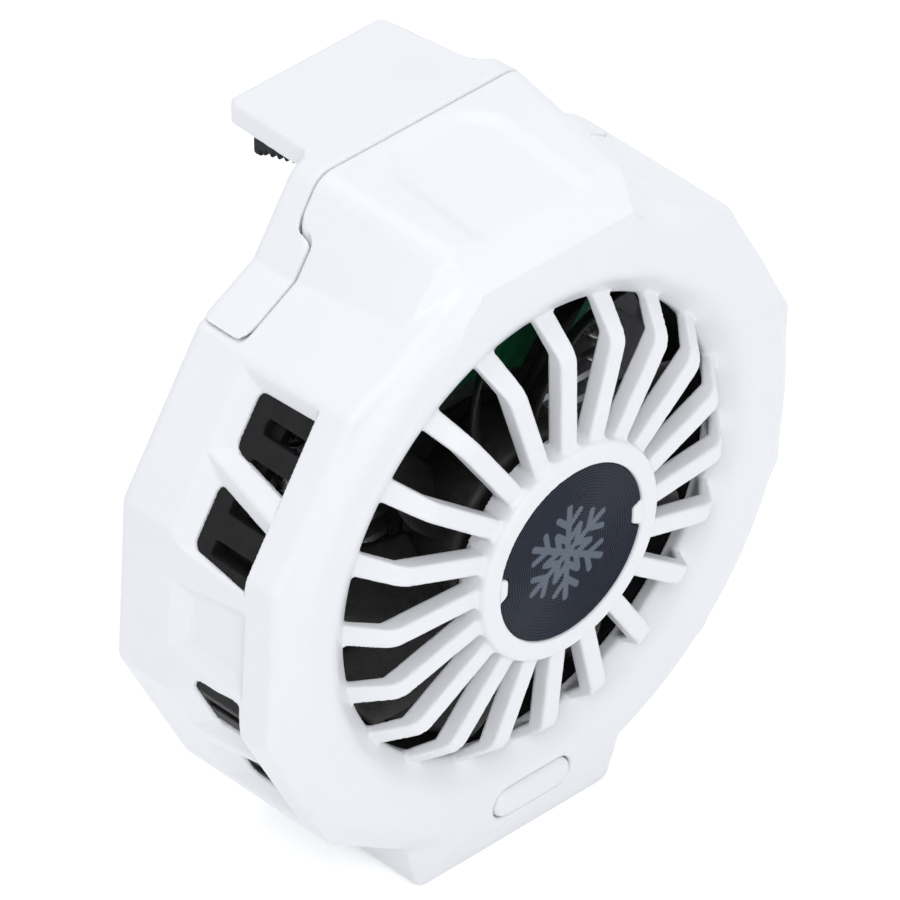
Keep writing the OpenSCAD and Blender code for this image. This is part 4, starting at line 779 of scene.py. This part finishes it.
# Impeller: a rounded cup and nine lofted blades with rounded edges
CUP = [(0.77, 20.45), (1.5, 20.45), (1.5, 20.7), (9.2, 20.7), (9.2, 14.7), (10.4, 14.7), (10.4, 20.9),
       (10.25, 21.45), (9.8, 21.78), (9.2, 21.9), (3.0, 21.9), (2.6, 21.75), (0.77, 21.75), (0.77, 20.45)]
CUP_SEGMENTS, BLADES, BLADE_ROOT, BLADE_TIP, Z_BLADE, BLADE_DEPTH = 96, 9, 9.8, 24.2, 14.9, 5.4
BLADE_START, BLADE_SWEEP, BLADE_CHORD = 15, 16, 34              # in degrees
CHORD_TAPER, CAMBER, BLADE_HALF, BLADE_THINNING, EDGE_POWER = 0.35, 0.15, 0.5, 0.25, 8


def rotor():
    verts, faces = [], []

    def add(grid):
        start = sum(len(v) for v in verts)
        rows, cols = grid.shape[:2]
        verts.append(grid.reshape(-1, 3))
        for i in range(rows - 1):
            for j in range(cols):
                k = (j + 1) % cols
                faces.append((start + i * cols + j, start + i * cols + k, start + (i + 1) * cols + k,
                              start + (i + 1) * cols + j))
        return start

    turn = np.linspace(0, 2 * math.pi, CUP_SEGMENTS + 1)[:-1]
    add(np.array([[(r * math.cos(a), r * math.sin(a), z) for a in turn] for r, z in CUP[::-1]]))
    rows, cols = 18, 12
    for blade in range(BLADES):
        grid = []
        for i in range(rows + 1):
            u = i / rows
            radius = BLADE_ROOT + u * (BLADE_TIP - BLADE_ROOT)
            line = []
            for side in (-1, 1):
                for j in range(cols + 1):
                    v = (j if side < 0 else cols - j) / cols
                    chord = BLADE_CHORD * (1 - CHORD_TAPER * u)
                    angle = BLADE_START - BLADE_SWEEP * u * u + chord * (v - CAMBER * v * v)
                    edge = math.sqrt(max(1e-4, 1 - (2 * v - 1) ** EDGE_POWER))
                    thick = BLADE_HALF * edge * (1 - BLADE_THINNING * u)
                    a = math.radians(angle + blade * 360 / BLADES) + side * thick / radius
                    line.append((radius * math.cos(a), radius * math.sin(a), Z_BLADE + BLADE_DEPTH * v))
            grid.append(line)
        start = add(np.array(grid))
        n = 2 * (cols + 1)
        tip = start + rows * n
        for j in range(cols):
            faces.append((tip + j, tip + j + 1, tip + n - 2 - j, tip + n - 1 - j))
            faces.append((start + j, start + n - 1 - j, start + n - 2 - j, start + j + 1))
    obj = new_mesh("impeller", np.concatenate(verts), faces)
    clean(obj, join=1e-6)
    return obj


finish_piece(rotor(), "rotor", "black_plastic", GRAIN, "fan_rotor")


# Ribbed rubber pads: a wedge with rounded ribs
def pad(name, base_y, up):
    half = ARM_HALF - PAD_MARGIN
    length = ARM_REACH - PAD_MARGIN - PAD_START
    ribs = int(length / RIB_PITCH)
    pitch = length / ribs

    def f(x, y, z):
        y, z = level(y, z) if up < 0 else (y, z)
        s = -z - PAD_START
        h = (y - base_y) * up
        top = PAD_FRONT + (PAD_THICK - PAD_FRONT) * (s + 0.5 * pitch) / length
        wave = 0.5 - 0.5 * np.cos(2 * math.pi * s / pitch)
        ribbed = (h - (top - RIB + RIB * wave)) * RIB_SCALE
        end = np.maximum(h - PAD_THICK, length - pitch - s)
        return hull([smin(ribbed, end, k=0.2), np.abs(x) - half, -s, s - length, -h], k=0.35)

    margin, reach = 0.4, 4.8 if up < 0 else 4.0
    low_y, high_y = sorted((base_y - up * margin, base_y + up * reach))
    return surface(name, f, (-half - margin, low_y, -11.0), (half + margin, high_y, 0.1), PAD_STEP)


finish_piece(pad("upper_ribbed_pad", ARM_TOP - ARM_THICK, -1), "jaw", "rubber", RUBBER, "upper_pad")
finish_piece(pad("lower_ribbed_pad", -BLOCK_DROP + ARM_THICK, 1), "housing", "rubber", RUBBER, "lower_pad")


# Compression springs wound round the guide rods
def springs():
    mean, wire, turns, end_gap = 1.65, 0.25, 12, 0.27
    low, high = LUG_HIGH + end_gap, BOSS_Y - BOSS_HALF - end_gap
    steps, ring = 24, 10
    verts, faces = [], []
    for side in (-1, 1):
        start = len(verts)
        total = turns * steps
        for k in range(total + 1):
            a = 2 * math.pi * k / steps
            y = low + (high - low) * k / total
            for m in range(ring):
                t = 2 * math.pi * m / ring
                r = mean + wire * math.cos(t)
                verts.append((side * ROD_X + r * math.cos(a), y + wire * math.sin(t),
                              ROD_Z + r * math.sin(a)))
        for k in range(total):
            for m in range(ring):
                a, b = start + k * ring + m, start + k * ring + (m + 1) % ring
                faces.append((a, b, b + ring, a + ring))
        faces.append(tuple(start + m for m in range(ring))[::-1])
        faces.append(tuple(start + total * ring + m for m in range(ring)))
    obj = new_mesh("wound_springs", np.array(verts), faces)
    clean(obj)
    return obj


spring = springs()
finish_piece(spring, "housing", "steel", STEEL, "clamp_springs")
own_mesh(spring)

# CAD pieces that keep their shape: soft edges and finishes
EDGE_WIDTH, EDGE_SEGMENTS, EDGE_ANGLE = 0.00008, 2, math.radians(40)
FINISH = {
    "contact_pad": HEAT_PAD, "cold_plate": ALUMINIUM, "cold_ceramic": CERAMIC, "hot_ceramic": CERAMIC,
    "thermo_legs": PELLET, "heat_sink": ALUMINIUM, "sink_screws": STEEL, "fan_frame": BLACK,
    "magnet_ring": IRON, "rotor_shaft": STEEL, "bearing_sleeve": BRONZE, "stator_core": IRON,
    "stator_coils": COPPER, "motor_board": BOARD, "control_board": BOARD, "board_chips": BLACK,
    "port_board": BOARD, "port_shell": STEEL, "port_tongue": BLACK, "switch_body": BLACK,
    "switch_plunger": RED, "guide_rods": STEEL, "front_screws": STEEL, "back_screws": STEEL}
for name, mat in FINISH.items():
    obj = nodes[name]
    obj.data.materials.clear()
    obj.data.materials.append(mat)
    bevel = obj.modifiers.new("soft_edges", "BEVEL")
    bevel.width = EDGE_WIDTH
    bevel.segments = EDGE_SEGMENTS
    bevel.limit_method = "ANGLE"
    bevel.angle_limit = EDGE_ANGLE


# Floor, light and view
def lamp(name, place, aim, size, power):
    data = bpy.data.lights.new(name, "AREA")
    data.shape = "DISK"
    data.size = size
    data.energy = power
    obj = bpy.data.objects.new(name, data)
    obj.location = place
    obj.rotation_euler = (Vector(aim) - Vector(place)).to_track_quat("-Z", "Y").to_euler()
    scene.collection.objects.link(obj)


AIM = (0, -0.01, 0)
lamp("key", (-0.5, -0.58, 0.64), AIM, size=0.4, power=2.5)
lamp("overhead", (0.05, 0.1, 0.95), AIM, size=0.7, power=1.9)
lamp("fill", (0.7, -0.6, 0.3), AIM, size=0.6, power=0.5)


# 1 on rays that show the background itself, straight or in a shiny or clear surface
def direct_rays(tree):
    path = tree.nodes.new("ShaderNodeLightPath")
    direct = path.outputs["Is Camera Ray"]
    for kind in ("Is Glossy Ray", "Is Transmission Ray"):
        either = tree.nodes.new("ShaderNodeMath")
        either.operation = "MAXIMUM"
        tree.links.new(direct, either.inputs[0])
        tree.links.new(path.outputs[kind], either.inputs[1])
        direct = either.outputs["Value"]
    return direct


# A white backdrop for those rays, and a soft light from all sides for the others
def make_world():
    world = bpy.data.worlds.new("world")
    scene.world = world
    world.use_nodes = True
    tree = world.node_tree
    ambient = tree.nodes["Background"]
    ambient.inputs["Color"].default_value = (0.95, 0.97, 1.0, 1)
    ambient.inputs["Strength"].default_value = 0.72
    seen = tree.nodes.new("ShaderNodeBackground")
    seen.inputs["Color"].default_value = (1, 1, 1, 1)
    seen.inputs["Strength"].default_value = 1.0
    choose = tree.nodes.new("ShaderNodeMixShader")
    tree.links.new(direct_rays(tree), choose.inputs["Fac"])
    tree.links.new(ambient.outputs["Background"], choose.inputs[1])
    tree.links.new(seen.outputs["Background"], choose.inputs[2])
    tree.links.new(choose.outputs["Shader"], tree.nodes["World Output"].inputs["Surface"])


make_world()


def floor():
    cells, half_size, glow_strength = 8, 3.0, 0.3
    b = bmesh.new()
    bmesh.ops.create_grid(b, x_segments=cells, y_segments=cells, size=half_size)
    mesh = bpy.data.meshes.new("floor")
    b.to_mesh(mesh)
    b.free()
    obj = bpy.data.objects.new("floor", mesh)
    obj.location = (0, 0, -BLOCK_DROP * MM)
    scene.collection.objects.link(obj)
    m = bpy.data.materials.new("pale_floor")
    m.use_nodes = True
    t = m.node_tree
    shader = t.nodes["Principled BSDF"]
    noise = t.nodes.new("ShaderNodeTexNoise")
    noise.inputs["Scale"].default_value = 30
    ramp = t.nodes.new("ShaderNodeValToRGB")
    ramp.color_ramp.elements[0].color = (0.93, 0.93, 0.93, 1)
    ramp.color_ramp.elements[1].color = (0.95, 0.95, 0.95, 1)
    t.links.new(noise.outputs["Fac"], ramp.inputs["Fac"])
    t.links.new(ramp.outputs["Color"], shader.inputs["Base Color"])
    shader.inputs["Roughness"].default_value = 0.9
    shader.inputs["Specular IOR Level"].default_value = 0.1
    shader.inputs["Emission Color"].default_value = (1, 1, 1, 1)
    glow = t.nodes.new("ShaderNodeMath")
    glow.operation = "MULTIPLY"
    glow.inputs[1].default_value = glow_strength
    t.links.new(direct_rays(t), glow.inputs[0])
    t.links.new(glow.outputs["Value"], shader.inputs["Emission Strength"])
    mesh.materials.append(m)


floor()
scene.view_settings.view_transform = "Standard"
